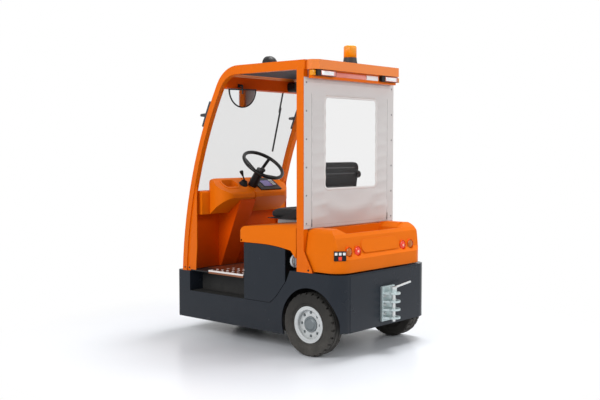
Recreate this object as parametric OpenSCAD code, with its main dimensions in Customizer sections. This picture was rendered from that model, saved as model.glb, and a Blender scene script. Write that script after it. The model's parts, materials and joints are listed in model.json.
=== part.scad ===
// Ride-on tow tractor, three wheels, with a cab frame, a seat and a multi-level towing coupling.
// The front faces -Y, the driver's left is +X and the tyres stand on Z = 0.

/* [Chassis] */
// Length of the chassis from the front face to the rear face
chassis_len = 1540; // [1500:5:1600]
// Width over the two side skirts
chassis_w = 970; // [950:5:1000]
// Height of the lower edge of the skirts
skirt_z = 112; // [100:1:125]
// Height of the lower edge behind the rear wheels
tail_z = 170; // [160:1:185]
// Height of the step that the driver climbs on
sill_z = 308; // [295:1:315]
// Height of the front block
nose_z = 452; // [450:1:460]
// Height of the rear deck
deck_z = 540; // [530:1:550]
// Length of the front block ahead of the steps
nose_len = 135; // [120:1:150]
// Thickness of the chassis plate
plate_t = 8; // [6:0.5:10]
// Radius of the rear corners seen from above
rear_corner_r = 95; // [80:1:110]
// Depth of the step pocket
step_deep = 125; // [100:1:140]
// Thickness of the rear counterweight
weight_t = 60; // [40:1:70]

/* [Wheels] */
// Radius of the rear tyres
tyre_r = 205; // [200:1:210]
// Width of the rear tyres
tyre_w = 115; // [105:1:120]
// Distance of the tyre's outer wall beyond the skirt
tyre_proud = 12; // [6:1:16]
// Radius of the rim flange
rim_r = 119.5; // [112:0.5:124]
// Distance of the rear axle from the rear face
axle_setback = 262; // [250:1:275]
// Space between the rear tyre and its arch
arch_gap = 31; // [24:1:36]
// Radius of the steered front tyre
front_tyre_r = 190; // [185:1:194]
// Width of the front tyre
front_tyre_w = 110; // [100:1:116]
// Distance of the front axle from the front face
front_setback = 262; // [250:1:275]

/* [Cab] */
// Distance of the outer pillar faces beyond the skirts
pillar_proud = 2; // [0:0.5:6]
// Width of each pillar
pillar_w = 40; // [32:1:46]
// Depth of the front pillars
pillar_deep = 44; // [38:1:50]
// Distance of the front pillar's foot from the front face
pillar_setback = 60; // [50:1:66]
// Radius of the long bend of the front pillars
bend_r = 3030; // [2900:10:3200]
// Radius of the bend from pillar to roof
bow_r = 230; // [210:1:250]
// Height of the top of the roof
roof_z = 1902; // [1896:1:1910]
// Depth of the rear pillars
rear_pillar_deep = 60; // [50:1:70]
// Distance of the roof's rear edge ahead of the rear face
roof_setback = 217; // [200:1:230]

/* [Covers] */
// Height of the seat deck at its rear edge
hood_z = 849; // [840:1:860]
// Height of the lower edge of the seat deck
hood_low_z = 700; // [690:1:705]
// Height of the rear cover's shoulders
shoulder_z = 822; // [815:1:830]
// Height of the lip behind the tray
lip_z = 790; // [780:1:800]
// Height of the tray floor
tray_z = 700; // [680:1:720]
// Wall of the moulded covers
cover_t = 5; // [4:0.5:7]

/* [Coupling] */
// Number of jaw plates
jaw_count = 4; // [3:1:4]
// Height from one jaw plate to the next
jaw_pitch = 54; // [50:1:56]
// Height of the lowest jaw plate
jaw_z = 219; // [214:1:224]
// Thickness of a jaw plate
jaw_t = 12; // [10:0.5:14]
// Width of the coupling's back plate
jaw_w = 140; // [120:1:160]
// Radius of the rounded nose of a jaw plate
jaw_nose_r = 45; // [40:1:48]
// Distance of the jaw plates' nose from the rear face
coupling_reach = 104; // [96:1:110]
// Radius of the drop pin
pin_r = 12.5; // [11:0.5:14]

/* [Steering] */
// Height of the middle of the steering wheel
wheel_z = 1215; // [1200:1:1230]
// Distance of the steering wheel from the front face
wheel_setback = 410; // [400:1:420]
// Outer radius of the steering wheel
wheel_r = 170; // [160:1:180]
// Tilt of the steering column from the vertical
column_tilt = 36.7; // [34:0.1:39]

/* [Seat] */
// Width of the seat cushion
seat_w = 440; // [420:5:460]
// Length of the seat cushion
seat_len = 410; // [390:5:420]
// Height of the top of the seat cushion
seat_z = 920; // [915:1:930]
// Height of the top of the backrest
back_z = 1245; // [1230:1:1255]

/* [Roof fittings] */
// Radius of the beacon's lens
beacon_r = 44; // [38:1:48]
// Height of the beacon above the roof
beacon_h = 128; // [118:1:136]
// Radius of the round lamp on the front of the roof
roof_lamp_r = 62; // [56:1:66]

/* [Hidden] */
$fn = 64;

// Shared clearances, the overrun of every cut and the running fit of shafts
gap = 0.3;
over = 2;
fit = 0.05;
seam = 3;

// Places along Y and X that other values follow
front_y = -(chassis_len + coupling_reach) / 2;
rear_y = front_y + chassis_len;
half_w = chassis_w / 2;
inner_w = half_w - plate_t;
pillar_x = half_w + pillar_proud;
nose_end_y = front_y + nose_len;
axle_y = rear_y - axle_setback;
front_axle_y = front_y + front_setback;
arch_r = tyre_r + arch_gap;
nose_corner_r = 25;

// Battery bay, floor and steps
bay_clear = 7;
bay_rear_y = axle_y - arch_r - bay_clear;
bay_len = 343;
bay_front_y = bay_rear_y - bay_len;
tray_plate_rise = 18;
tray_plate_z = skirt_z + tray_plate_rise;
floor_top_rise = 10;
floor_top_z = nose_z + floor_top_rise;
step_x = inner_w - step_deep;
cross_rise = 50;
cross_z = front_tyre_r * 2 + cross_rise;
cross_end_back = 40;
cross_end_y = front_axle_y + front_tyre_r + cross_end_back;
crease_run = [-99, -44, 49, 80];
crease_y = [for (run = crease_run) bay_rear_y + run];
crease_rise = [0, 45, 162];
weight_half = half_w - rear_corner_r;
rail_x = 215;
rail_w = 30;
rail_z = 300;
rail_h = 60;

// Step treads
tread_w = 120;
tread_t = 6;
tread_start = 197;
rib_pitch = 31;
rib_w = 14;
rib_h = 5;

// Side panels and the battery
panel_rear_back = 37;
panel_rear_y = bay_rear_y + panel_rear_back;
battery_clear = 14;
battery_h = 505;
battery_side = 85;
battery_half = half_w - battery_side;
cell_cap_r = 16;
cell_cap_h = 14;
cell_rows = 3;
cell_cols = 8;
plug_back = 45;
plug_y = panel_rear_y + plug_back;
plug_rise = 62;
plug_z = deck_z + plug_rise;
plug_r = 9;
plug_loop_r = 34;
plug_block = 30;
plug_post_r = 8;

// Seat deck
hood_front_ahead = 48;
hood_front_y = bay_front_y - hood_front_ahead;
hood_rear_ahead = 108;
hood_rear_y = axle_y - hood_rear_ahead;
hood_drop = 38;
hood_front_z = hood_z - hood_drop;
hood_corner_r = 70;
hood_plan_r = 22;
hood_edge_r = 42;
hood_sag_r = 1400;
hood_sag_back = 152;
hood_sag_y = bay_front_y + hood_sag_back;
hood_heel_drop = 75;
hood_heel_z = hood_low_z - hood_heel_drop;
hood_heel_run = 48;
hinge_r = 8;
hinge_ahead = 26;
hinge_y = bay_front_y - hinge_ahead;
hinge_rise = 12;
hinge_z = hood_low_z + hinge_rise;
hinge_x = 255;
hinge_len = 30;

// Rear pillars stand just behind the seat deck
rear_pillar_back = 7;
rear_pillar_y = hood_rear_y + rear_pillar_back;
rear_pillar_end_y = rear_pillar_y + rear_pillar_deep;
pillar_in_x = pillar_x - pillar_w;
foot_t = 6;
foot_len = 70;
foot_h = 140;
foot_flange_t = 8;
screw_r = 6;

// Rear cover
cover_half_more = 20;
cover_half = pillar_in_x + cover_half_more;
cover_front_back = 4;
cover_front_y = hood_rear_y + cover_front_back;
cover_top_half_less = 40;
cover_top_half = cover_half - cover_top_half_less;
cover_round = 45;
cover_corner_r = 105;
cover_foot_ahead = 18;
cover_foot_y = rear_y - cover_foot_ahead;
cover_waist_ahead = 46;
cover_waist_y = rear_y - cover_waist_ahead;
cover_lip_ahead = 76;
cover_lip_y = rear_y - cover_lip_ahead;
cover_waist_rise = 122;
cover_waist_z = deck_z + cover_waist_rise;
cover_skirt_rise = 92;
cover_skirt_z = deck_z + cover_skirt_rise;
cover_front_drop = 10;
cover_front_z = shoulder_z - cover_front_drop;
tray_front_back = 18;
tray_front_y = rear_pillar_end_y + tray_front_back;
tray_rear_ahead = 22;
tray_rear_y = cover_lip_y - tray_rear_ahead;
tray_half = 310;
tray_slope = 40;
tray_corner_r = 40;
lamp_r = 27;
lamp_pocket_r = 32;
red_x = 250;
amber_x = 341;
lamp_rise = 137;
lamp_z = deck_z + lamp_rise;
lamp_face_ahead = 6;
lamp_face_y = cover_waist_y - lamp_face_ahead;
lamp_deep = 26;
panel_band_h = 84;
panel_band_half = 205;
panel_band_t = 8;
switch_rise = 120;
switch_z = deck_z + switch_rise;
switch_pitch = 26;
switch_w = 22;
switch_h = 62;
switch_t = 10;
switch_turn = 48;
button_h = 24;
button_t = 8;
button_travel = 3;
button_guide = 6;

// Cab frame
tilt_low = 2.6;
tilt_high = 28.9;
curve_steps = 14;
bow_steps = 8;
pillar_y = front_y + pillar_setback;
gusset_t = 5;
gusset_back = 205;
gusset_y = front_y + gusset_back;
gusset_top_rise = 640;
gusset_top_z = nose_z + gusset_top_rise;
roof_end_y = rear_y - roof_setback;
roof_half_less = 19;
roof_half = pillar_x - roof_half_less;
beam_h = 62;
beam_back = 8;
beam_y = rear_pillar_end_y + beam_back;
roof_skin_t = 8;
roof_chamfer = 36;
rail_deep = 60;
liner_t = 14;
header_low_drop = 145;
header_low_z = roof_z - header_low_drop;
header_h = 42;
header_deep = 60;
header_back = 427;
header_y = front_y + header_back;
rear_header_h = 55;
rear_header_deep = 43;
glass_t = 5;
glass_inset = 6;
glass_low_rise = 580;
glass_low_z = nose_z + glass_low_rise;
curtain_t = 3;
curtain_half_less = 10;
curtain_half = pillar_x - curtain_half_less;
curtain_low_drop = 31;
curtain_low_z = hood_z - curtain_low_drop;
curtain_high_drop = 109;
curtain_high_z = roof_z - curtain_high_drop;
curtain_wave = 1.6;
curtain_waves = 3;
curtain_steps = 48;
window_half = 279;
window_low_rise = 253;
window_low_z = curtain_low_z + window_low_rise;
window_high_drop = 119;
window_high_z = curtain_high_z - window_high_drop;
window_t = 1.2;

// Dash, column cover and lever
dash_half_less = 6;
dash_half = pillar_in_x - dash_half_less;
dash_low_rise = 410;
dash_low_z = nose_z + dash_low_rise;
dash_top_rise = 666;
dash_top_z = nose_z + dash_top_rise;
dash_rear_back = 372;
dash_rear_y = front_y + dash_rear_back;
dash_edge_r = 25;
dash_end_r = 70;
dash_front_in = 12;
dash_open_edge = 20;
pod_half_less = 76;
pod_half = dash_half - pod_half_less;
pod_front_r = 40;
pod_rear_r = 110;
pod_deep = 180;
pod_back_y = dash_rear_y - pod_deep;
crest_r = 14;
slope_run = 160;
slope_y = dash_rear_y - slope_run;
slope_drop = 106;
slope_low_z = dash_top_z - slope_drop;
under_drop = 139;
under_z = dash_top_z - under_drop;
under_back = 150;
under_y = dash_rear_y - under_back;
wing_y = dash_rear_y - under_back;
wing_under = 2;
wing_top_z = glass_low_z - wing_under;
wing_r = 18;
parting_x = [36, 46];
parting_deep = 8;
pocket_x = [145, 278];
pocket_run = [-134, -63];
pocket_y = [for (run = pocket_run) dash_rear_y + run];
pocket_deep = 118;
pocket_r = 25;
pocket_rim_w = 15;
pocket_rim_h = 4;
bulkhead_back = 117.5;
bulkhead_y = front_y + bulkhead_back;
bulkhead_t = 5;
column_x = [22, 180];
column_deep = 236;
column_foot_deep = 24;
column_drop = 2.5;
display_half = 110;
display_mid_x = -148;
display_t = 9;
display_len = 146;
screen_half = 42;
screen_len = 48;
screen_t = 2;
lever_x = 85;
lever_run = -10;
lever_rod_r = 5;
lever_len = 92;
lever_knob_r = 15;
lever_knob_len = 52;
lever_lean = 28;
lever_ball_r = 11;
boot_r = 34;
boot_h = 30;
boot_wall = 2.5;

// Steering wheel and its shaft
wheel_y = front_y + wheel_setback;
rim_tube_r = 13;
hub_drop = 78;
hub_r = 30;
hub_h = 34;
spoke_w = 22;
spoke_t = 9;
spoke_count = 3;
shaft_r = 14;
shaft_len = 152;
collar_r = 34;
collar_len = 140;
knob_r = 21;
knob_h = 46;
knob_post_r = 6;
knob_post_h = 14;

// Pedals
pedal_w = 80;
pedal_len = 120;
pedal_t = 10;
pedal_back = 235;
pedal_y = front_y + pedal_back;
pedal_lean = 40;
pedal_boss_r = 12;
pedal_axle_r = 6;
accelerator_x = -255;
brake_x = -140;
pedal_lift = 30;

// Seat
seat_back = 205;
seat_y = hood_front_y + seat_back;
seat_plinth_half = 150;
seat_plinth_len = 300;
seat_rail_w = 34;
seat_pan_t = 6;
seat_pan_lift = 12;
cushion_h = 52;
cushion_crown = 14;
pad_points = 40;
back_low_rise = 22;
back_low_z = seat_z + back_low_rise;
back_w = 400;
back_shell_t = 22;
back_pad_t = 42;
back_lean = 8;
recline_r = 12;
recline_x = 150;
bracket_t = 8;
dial_r = 26;
dial_t = 18;

// Roof fittings
beacon_ahead = 96;
beacon_y = roof_end_y - beacon_ahead;
beacon_base_r_more = 5;
beacon_base_r = beacon_r + beacon_base_r_more;
beacon_base_h = 46;
roof_lamp_back = 460;
roof_lamp_y = front_y + roof_lamp_back;
roof_lamp_rise = 47;
roof_lamp_z = roof_z + roof_lamp_rise;
roof_lamp_deep = 70;
roof_lamp_stem = 12;
mirror_x = 325;
mirror_w = 200;
mirror_h = 132;
mirror_t = 18;
mirror_turn = 28;
mirror_top_drop = 3;
mirror_top_z = header_low_z - mirror_top_drop;
mirror_back = 34;
mirror_y = header_y + header_deep + mirror_back;
stalk_r = 6;
motor_x = -228;
motor_w = 94;
motor_deep = 74;
motor_h = 72;
wiper_shaft_r = 6;
wiper_boss_r = 14;
wiper_len = 560;
wiper_arm_len = 220;
wiper_lean = 13;
wiper_tilt = 27;
lamp_bar_drop = 415;
lamp_bar_z = roof_z - lamp_bar_drop;
lamp_bar_h = 172;
lamp_bar_t = 20;
lamp_bar_w = 34;
lamp_head_r = 20;
lamp_head_len = 60;
work_lamp_x = 345;
work_lamp_half = 95;
work_lamp_h = 38;
work_lamp_deep = 26;

// Rear axle, wheels and fork
wheel_in_x = half_w + tyre_proud - tyre_w;
wheel_mid_x = half_w + tyre_proud - tyre_w / 2;
rim_half_less = 9;
rim_half = tyre_w / 2 - rim_half_less;
rim_wall = 5;
bead_r_less = 16;
bead_r = rim_r - bead_r_less;
disc_t = 7;
disc_in = 26;
hub_bore_r = 52;
hub_stub_r = 20;
hub_cap_r = 40;
nut_r = 8;
nut_h = 8;
nut_count = 8;
nut_ring_r = 76;
bolt_tip = 6;
lug_count = 26;
lug_w = 14;
lug_deep = 9;
lug_len = 26;
groove_deep = 7;
groove_w = 8;
sidewall_r = 22;
axle_tube_r = 42;
gearbox_r = 88;
gearbox_w = 150;
motor_r = 72;
motor_len = 190;
king_r = 32;
ring_r = 92;
ring_t = 12;
fork_t = 12;
fork_clear = 12;
fork_w = 90;
front_pin_r = 12;
front_hub_r = 34;

// Coupling
jaw_base_back = 4;
jaw_base_y = rear_y + jaw_base_back;
jaw_back_t = 14;
pin_y = rear_y + coupling_reach - jaw_nose_r;
jaw_top_z = jaw_z + jaw_pitch * (jaw_count - 1);
coupling_low_drop = 18;
coupling_low_z = jaw_z - coupling_low_drop;
coupling_top_rise = 50;
coupling_top_z = jaw_top_z + coupling_top_rise;
boss_r = 21;
boss_h = 20;
pin_low_drop = 20;
pin_low_z = jaw_z - pin_low_drop;
handle_len = 190;
handle_rise = 6;
handle_r = 7;
pin_head_h = 16;

// Values that follow from several pieces
bulk_top_drop = 34;
bulk_top_z = hood_low_z - bulk_top_drop;
cover_z = deck_z + foot_flange_t + gap;
liner_tilt = 60;
header_tilt = 48;
tilt_share = 0.02;
lever_pivot = 26;
lever_pin_r = 4;
lever_knuckle_r = lever_rod_r * 1.2;
boot_mouth_r = 19;
hub_clear = 2;
knob_angle = -42;
plinth_z = seat_z - cushion_crown - cushion_h - seat_pan_t - seat_pan_lift;
pan_z = plinth_z + seat_pan_lift;
pan_half_more = 1;
pan_half = seat_w / 2 + bracket_t + pan_half_more;
pad_inset = 30;
bracket_foot = 60;
recline_back = 22;
recline_y = seat_y + seat_len / 2 + recline_back;
recline_z = back_low_z;
pad_pull_share = 0.035;
pad_square_share = 0.32;
mirror_socket = 24;
wiper_place_tilt = 31;
wiper_off = 24;
wiper_arm_t = 9;
axle_end_in = 12;
axle_end_x = wheel_in_x - axle_end_in;
disc_z = rim_half - disc_in - disc_t;
hub_reach = 62;
hub_bore_x = wheel_mid_x + disc_z;

// Extrudes an outline drawn as (Y, Z) from x0 to x1
module along_x(x0, x1) {
  translate([x0, 0, 0]) rotate([90, 0, 90]) linear_extrude(x1 - x0) children();
}

// Extrudes an outline drawn as (X, Z) from y0 to y1
module along_y(y0, y1) {
  translate([0, y1, 0]) rotate([90, 0, 0]) linear_extrude(y1 - y0) children();
}

// The same piece on the left and on the right
module both_sides() {
  children();
  mirror([1, 0, 0]) children();
}

module block(low, high) {
  translate(low) cube(high - low);
}

module rod_x(x0, x1, y, z, r) {
  translate([x0, y, z]) rotate([0, 90, 0]) cylinder(h = x1 - x0, r = r);
}

// Outline of a rectangle with one radius at the front and one at the rear
module plan(half, y0, y1, front_r, back_r) {
  translate([-half, y0 + front_r]) square([2 * half, y1 - y0 - front_r - back_r]);
  translate([-half + front_r, y0]) square([2 * (half - front_r), front_r]);
  translate([-half + back_r, y1 - back_r]) square([2 * (half - back_r), back_r]);
  for (side = [-1, 1]) {
    translate([side * (half - front_r), y0 + front_r]) circle(front_r);
    translate([side * (half - back_r), y1 - back_r]) circle(back_r);
  }
}

// Outline of a rounded rectangle from its middle
module pill(w, h, r) {
  square([w, h - 2 * r], center = true);
  square([w - 2 * r, h], center = true);
  for (x = [-1, 1], y = [-1, 1]) translate([x * (w / 2 - r), y * (h / 2 - r)]) circle(r);
}

function arc(c, r, a0, a1, n) = [for (i = [0:n])
  c + r * [cos(a0 + (a1 - a0) * i / n), sin(a0 + (a1 - a0) * i / n)]];

// Curve of the front pillars: a long bend, a short bow and the level roof, as (Y, Z) by tilt
bend_end = [
  pillar_y + bend_r * (cos(tilt_low) - cos(tilt_high)),
  roof_z - bow_r * (1 - sin(tilt_high))
];
function bend_point(a) = bend_end + bend_r * [cos(tilt_high) - cos(a), sin(a) - sin(tilt_high)];
function bow_point(a) = bend_end + bow_r * [cos(tilt_high) - cos(a), sin(a) - sin(tilt_high)];
function skin_point(a, d) = (a <= tilt_high ? bend_point(a) : bow_point(a)) + d * [cos(a), -sin(a)];
function tilt_at(z) = asin(sin(tilt_high) - (bend_end[1] - z) / bend_r);
function skin_line(a0, a1, d, n) = [for (i = [0:n]) skin_point(a0 + (a1 - a0) * i / n, d)];
function reversed(list) = [for (i = [len(list) - 1:-1:0]) list[i]];
foot_tilt = tilt_at(nose_z);

// Band of the skin curve between two tilts and two depths
module skin_band(a0, a1, d0, d1, n) {
  polygon(concat(skin_line(a0, a1, d0, n), reversed(skin_line(a0, a1, d1, n))));
}

// Side view of the chassis, as (Y, Z)
module chassis_profile() {
  polygon([
    [front_y, skirt_z], [axle_y, skirt_z], [axle_y, tail_z], [rear_y, tail_z],
    [rear_y, deck_z], [crease_y[3], deck_z], [crease_y[2], sill_z + crease_rise[2]],
    [crease_y[1], sill_z + crease_rise[1]], [crease_y[0], sill_z],
    [nose_end_y, sill_z], [nose_end_y, nose_z], [front_y, nose_z]
  ]);
}

// Space inside the skirts, under the front block and under the rear deck
module chassis_hollow() {
  intersection() {
    translate([0, 0, skirt_z - over]) linear_extrude(deck_z)
      plan(inner_w, front_y + plate_t, rear_y - plate_t, nose_corner_r - plate_t,
        rear_corner_r - plate_t);
    along_x(-inner_w, inner_w) polygon([
      [front_y, skirt_z - over], [rear_y, skirt_z - over], [rear_y, deck_z - plate_t],
      [crease_y[3], deck_z - plate_t], [crease_y[3], deck_z + over],
      [nose_end_y, deck_z + over], [nose_end_y, nose_z - plate_t], [front_y, nose_z - plate_t]
    ]);
  }
}

module chassis_shell() {
  color("#2b3036") {
    difference() {
      intersection() {
        linear_extrude(deck_z) plan(half_w, front_y, rear_y, nose_corner_r, rear_corner_r);
        along_x(-half_w, half_w) chassis_profile();
      }
      chassis_hollow();
      arches();
      block([-weight_half, rear_y - plate_t - over, tail_z - over],
        [weight_half, rear_y + over, deck_z - plate_t]);
    }
    both_sides() block([step_x, nose_end_y - plate_t, sill_z - plate_t],
      [inner_w, nose_end_y, nose_z - plate_t]);
  }
}

module arches() {
  both_sides() rod_x(wheel_in_x - seam, half_w + over, axle_y, tyre_r, arch_r);
}

module rear_counterweight() {
  color("#30353b") difference() {
    block([-weight_half + gap, rear_y - weight_t, tail_z],
      [weight_half - gap, jaw_base_y, deck_z - plate_t]);
    arches();
    both_sides() translate([weight_half, jaw_base_y, 0]) rotate([0, 0, 45])
      cube([seam * 2, seam * 2, deck_z * 4], center = true);
  }
}

// Welded frame: front cross plate, floor, steps, battery bay, rails, hinge pins and pedal axles
module frame() {
  color("#33373c") difference() {
    union() {
      block([-inner_w, front_y + nose_corner_r, cross_z],
        [inner_w, nose_end_y - plate_t, cross_z + plate_t]);
      block([-step_x, nose_end_y - plate_t, cross_z], [step_x, cross_end_y, cross_z + plate_t]);
      translate([0, front_axle_y, cross_z]) cylinder(h = floor_top_z - cross_z, r = king_r * 2);
      block([-inner_w, nose_end_y, floor_top_z - plate_t],
        [inner_w, bay_front_y - plate_t, floor_top_z]);
      both_sides() {
        block([step_x, nose_end_y, sill_z - plate_t], [inner_w, bay_front_y, sill_z]);
        block([step_x, nose_end_y, sill_z - plate_t], [step_x + plate_t, bay_front_y, floor_top_z]);
        block([rail_x, bay_rear_y, rail_z], [rail_x + rail_w, rear_y - weight_t, rail_z + rail_h]);
        hinge_bracket();
      }
      bay_walls();
      pedal_axle(accelerator_x);
      pedal_axle(brake_x);
      block([battery_half, bay_rear_y, plug_z - plug_block / 2],
        [battery_half + plug_block, plug_y + plug_block / 2, plug_z + plug_block / 2]);
    }
    translate([0, front_axle_y, cross_z - over]) cylinder(h = floor_top_z, r = king_r + fit);
    rod_x(battery_half - over, battery_half + plug_block + over, plug_y, plug_z, plug_post_r + fit);
  }
}

module bay_walls() {
  block([-inner_w, bay_front_y, tray_plate_z], [inner_w, bay_rear_y, tray_plate_z + plate_t]);
  block([-inner_w, bay_front_y - plate_t, tray_plate_z], [inner_w, bay_front_y, bulk_top_z]);
  block([-inner_w, bay_rear_y, tray_plate_z], [inner_w, bay_rear_y + plate_t, bulk_top_z]);
}

module hinge_bracket() {
  arm = hinge_x - hinge_len / 2 - plate_t;
  along_x(arm, arm + plate_t) {
    translate([hinge_y, hinge_z]) circle(hinge_r * 1.5);
    polygon([
      [hinge_y, hinge_z + hinge_r * 1.5], [bay_front_y, hinge_z + hinge_r * 1.5],
      [bay_front_y, bulk_top_z - hinge_len * 2], [bay_front_y - plate_t, bulk_top_z - hinge_len * 2],
      [hinge_y, hinge_z - hinge_r * 1.5]
    ]);
  }
  rod_x(arm, hinge_x + hinge_len / 2, hinge_y, hinge_z, hinge_r);
}

module pedal_axle(x) {
  for (side = [-1, 1]) {
    foot = x + side * (pedal_w / 2 + plate_t / 2 + gap);
    block([foot - plate_t / 2, pedal_y - pedal_boss_r, floor_top_z],
      [foot + plate_t / 2, pedal_y + pedal_boss_r, floor_top_z + pedal_lift + pedal_boss_r]);
  }
  rod_x(x - pedal_w / 2 - plate_t, x + pedal_w / 2 + plate_t, pedal_y, floor_top_z + pedal_lift,
    pedal_axle_r);
}

// Ribbed aluminium treads with a nosing over the floor's edge
module step_treads() {
  color("#b9bcbf") both_sides() {
    y0 = nose_end_y + tread_start;
    y1 = bay_front_y - plate_t - seam;
    x1 = half_w - over;
    block([x1 - tread_w, y0, floor_top_z], [x1, y1, floor_top_z + tread_t]);
    block([inner_w + gap, y0, floor_top_z - tread_t * 2], [x1, y1, floor_top_z + tread_t]);
    for (y = [y0 + rib_w / 2:rib_pitch:y1 - rib_w])
      block([x1 - tread_w, y, floor_top_z], [x1, y + rib_w, floor_top_z + tread_t + rib_h]);
  }
}

function hood_low(y) = hood_low_z - pow(max(y - hood_sag_y, 0), 2) / (2 * hood_sag_r);
function hood_low_line(y0, y1, n, d) = [for (i = [0:n])
  let (y = y0 + (y1 - y0) * i / n) [y, hood_low(y) - d]];

// Doors of the battery bay
module side_panels() {
  color("#363c43") both_sides() along_x(inner_w + gap, half_w) intersection() {
    polygon(concat(
      [[bay_front_y, sill_z + seam], [crease_y[0] - seam, sill_z + seam],
        [crease_y[1] - seam, sill_z + crease_rise[1] + seam],
        [crease_y[2] - seam, sill_z + crease_rise[2] + seam], [crease_y[3], deck_z]],
      reversed(hood_low_line(bay_front_y, crease_y[3], curve_steps, seam))
    ));
    translate([bay_front_y, 0]) square([panel_rear_y - bay_front_y, roof_z]);
  }
}

module battery() {
  color("#22262a") {
    base = tray_plate_z + plate_t;
    y0 = bay_front_y + battery_clear;
    y1 = bay_rear_y - battery_clear;
    block([-battery_half, y0, base], [battery_half, y1, base + battery_h]);
    for (i = [1:cell_cols], j = [1:cell_rows])
      translate([-battery_half + 2 * battery_half * i / (cell_cols + 1),
        y0 + (y1 - y0) * j / (cell_rows + 1), base + battery_h])
        cylinder(h = cell_cap_h, r = cell_cap_r, $fn = 24);
  }
}

// Grey loop that pulls the battery plug out
module battery_disconnect() {
  x0 = battery_half + plug_block + gap;
  color("#c6c9cb") translate([0, plug_y, plug_z]) {
    rod_x(x0 - plug_block / 2, x0 + over, 0, 0, plug_post_r);
    block([x0, -plug_r * 1.5, -plug_loop_r - plug_r],
      [x0 + plug_r, plug_r * 1.5, plug_loop_r + plug_r]);
    translate([x0 + plug_r - over, 0, 0]) rotate([90, 0, 0]) rotate([0, 0, -90])
      rotate_extrude(angle = 180) translate([plug_loop_r, 0]) circle(plug_r, $fn = 32);
  }
}

function hood_top(y) = hood_z - hood_drop * (hood_rear_y - y) / (hood_rear_y - hood_front_y - hood_corner_r);

// Body of the seat deck, drawn in by d on all sides
module hood_body(d, low) {
  intersection() {
    along_x(-half_w + d, half_w - d) polygon(concat(
      low,
      [[hood_rear_y - d, hood_z - d]],
      arc([hood_front_y + hood_corner_r, hood_front_z - hood_corner_r], hood_corner_r - d, 90, 180,
        bow_steps)
    ));
    along_y(hood_front_y, hood_rear_y)
      crown_section(half_w - d, hood_heel_z - over * 2, hood_z - d, hood_edge_r - d);
    translate([0, 0, hood_heel_z - over * 2]) linear_extrude(hood_z)
      plan(half_w - d, hood_front_y + d, hood_rear_y - d, hood_plan_r - d, seam);
  }
}

// Upright outline with two rounded upper corners
module crown_section(half, z0, z1, r) {
  translate([-half, z0]) square([2 * half, z1 - z0 - r]);
  translate([-half + r, z0]) square([2 * (half - r), z1 - z0]);
  for (side = [-1, 1]) translate([side * (half - r), z1 - r]) circle(r);
}

module deck_hood() {
  color("#e8721c") difference() {
    union() {
      difference() {
        hood_body(0, concat(hood_low_line(hood_front_y, hood_rear_y - hood_heel_run, curve_steps,
          0),
          [[hood_rear_y - cover_t, hood_heel_z], [hood_rear_y, hood_low_z]]));
        hood_body(cover_t, [[hood_front_y + cover_t, hood_heel_z - over * 2],
          [hood_rear_y - cover_t, hood_heel_z - over * 2]]);
      }
      both_sides() block([hinge_x - hinge_len / 2 + seam, hood_front_y + cover_t - fit, hood_low_z],
        [hinge_x + hinge_len / 2, hinge_y + hinge_r * 1.5, hinge_z + hinge_r * 1.5]);
      for (side = [-1, 1])
        block([side * rail_x - cover_t, hood_front_y + hood_corner_r, bulk_top_z + gap],
          [side * rail_x + cover_t, hood_rear_y - cover_t,
            hood_top(hood_front_y + hood_corner_r) - cover_t / 2]);
    }
    rod_x(-half_w, half_w, hinge_y, hinge_z, hinge_r + fit);
    block([-pillar_in_x + seam, hood_rear_y - cover_t * 2, hood_heel_z - over],
      [pillar_in_x - seam, hood_rear_y + over, hood_low_z]);
    for (side = [-1, 1])
      block([side * rail_x - cover_t * 2, bay_front_y - seam, bulk_top_z],
        [side * rail_x + cover_t * 2, bay_rear_y - seam, hood_front_z - cover_t * 3]);
  }
}

// Rear cover, drawn in by d
module cover_body(d, low) {
  intersection() {
    along_x(-cover_half, cover_half) polygon([
      [cover_front_y + d, low], [cover_foot_y - d, low], [cover_foot_y - d, cover_skirt_z],
      [cover_waist_y - d, cover_waist_z], [cover_lip_y + cover_t - d, lip_z - cover_round / 2],
      [cover_lip_y - cover_round / 4 - d, lip_z - d], [cover_lip_y - cover_round - d, shoulder_z - d],
      [tray_front_y, shoulder_z - d], [tray_front_y, cover_front_z - d],
        [cover_front_y + d, cover_front_z - d]
    ]);
    along_y(cover_front_y, cover_foot_y) polygon(concat(
      [[-cover_half + d, low], [cover_half - d, low], [cover_half - d, cover_waist_z]],
      arc([cover_top_half - cover_round / 2, shoulder_z - cover_round], cover_round - d, 20, 90,
        bow_steps),
      arc([-cover_top_half + cover_round / 2, shoulder_z - cover_round], cover_round - d, 90, 160,
        bow_steps),
      [[-cover_half + d, cover_waist_z]]
    ));
    translate([0, 0, low]) linear_extrude(shoulder_z)
      plan(cover_half - d, cover_front_y, cover_foot_y - d, seam, cover_corner_r - d);
  }
}

// Where a round lamp or the switch plate seats on the rear cover
module lamp_places() {
  for (x = [-amber_x, -red_x, red_x, amber_x]) translate([x, lamp_face_y, lamp_z]) rotate([-90, 0, 0])
    children();
}

module switch_place() {
  translate([cover_half - cover_corner_r, cover_foot_y - cover_corner_r, switch_z])
    rotate([0, 0, switch_turn]) translate([cover_corner_r, 0, 0]) children();
}

// Outline of the tray seen from behind
module tray_section(d) {
  polygon([
    [-tray_half + tray_slope + d, tray_z + d], [tray_half - tray_slope - d, tray_z + d],
    [tray_half - d, lip_z], [tray_half + tray_slope - d, shoulder_z + over],
    [-tray_half - tray_slope + d, shoulder_z + over], [-tray_half + d, lip_z]
  ]);
}

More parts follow.
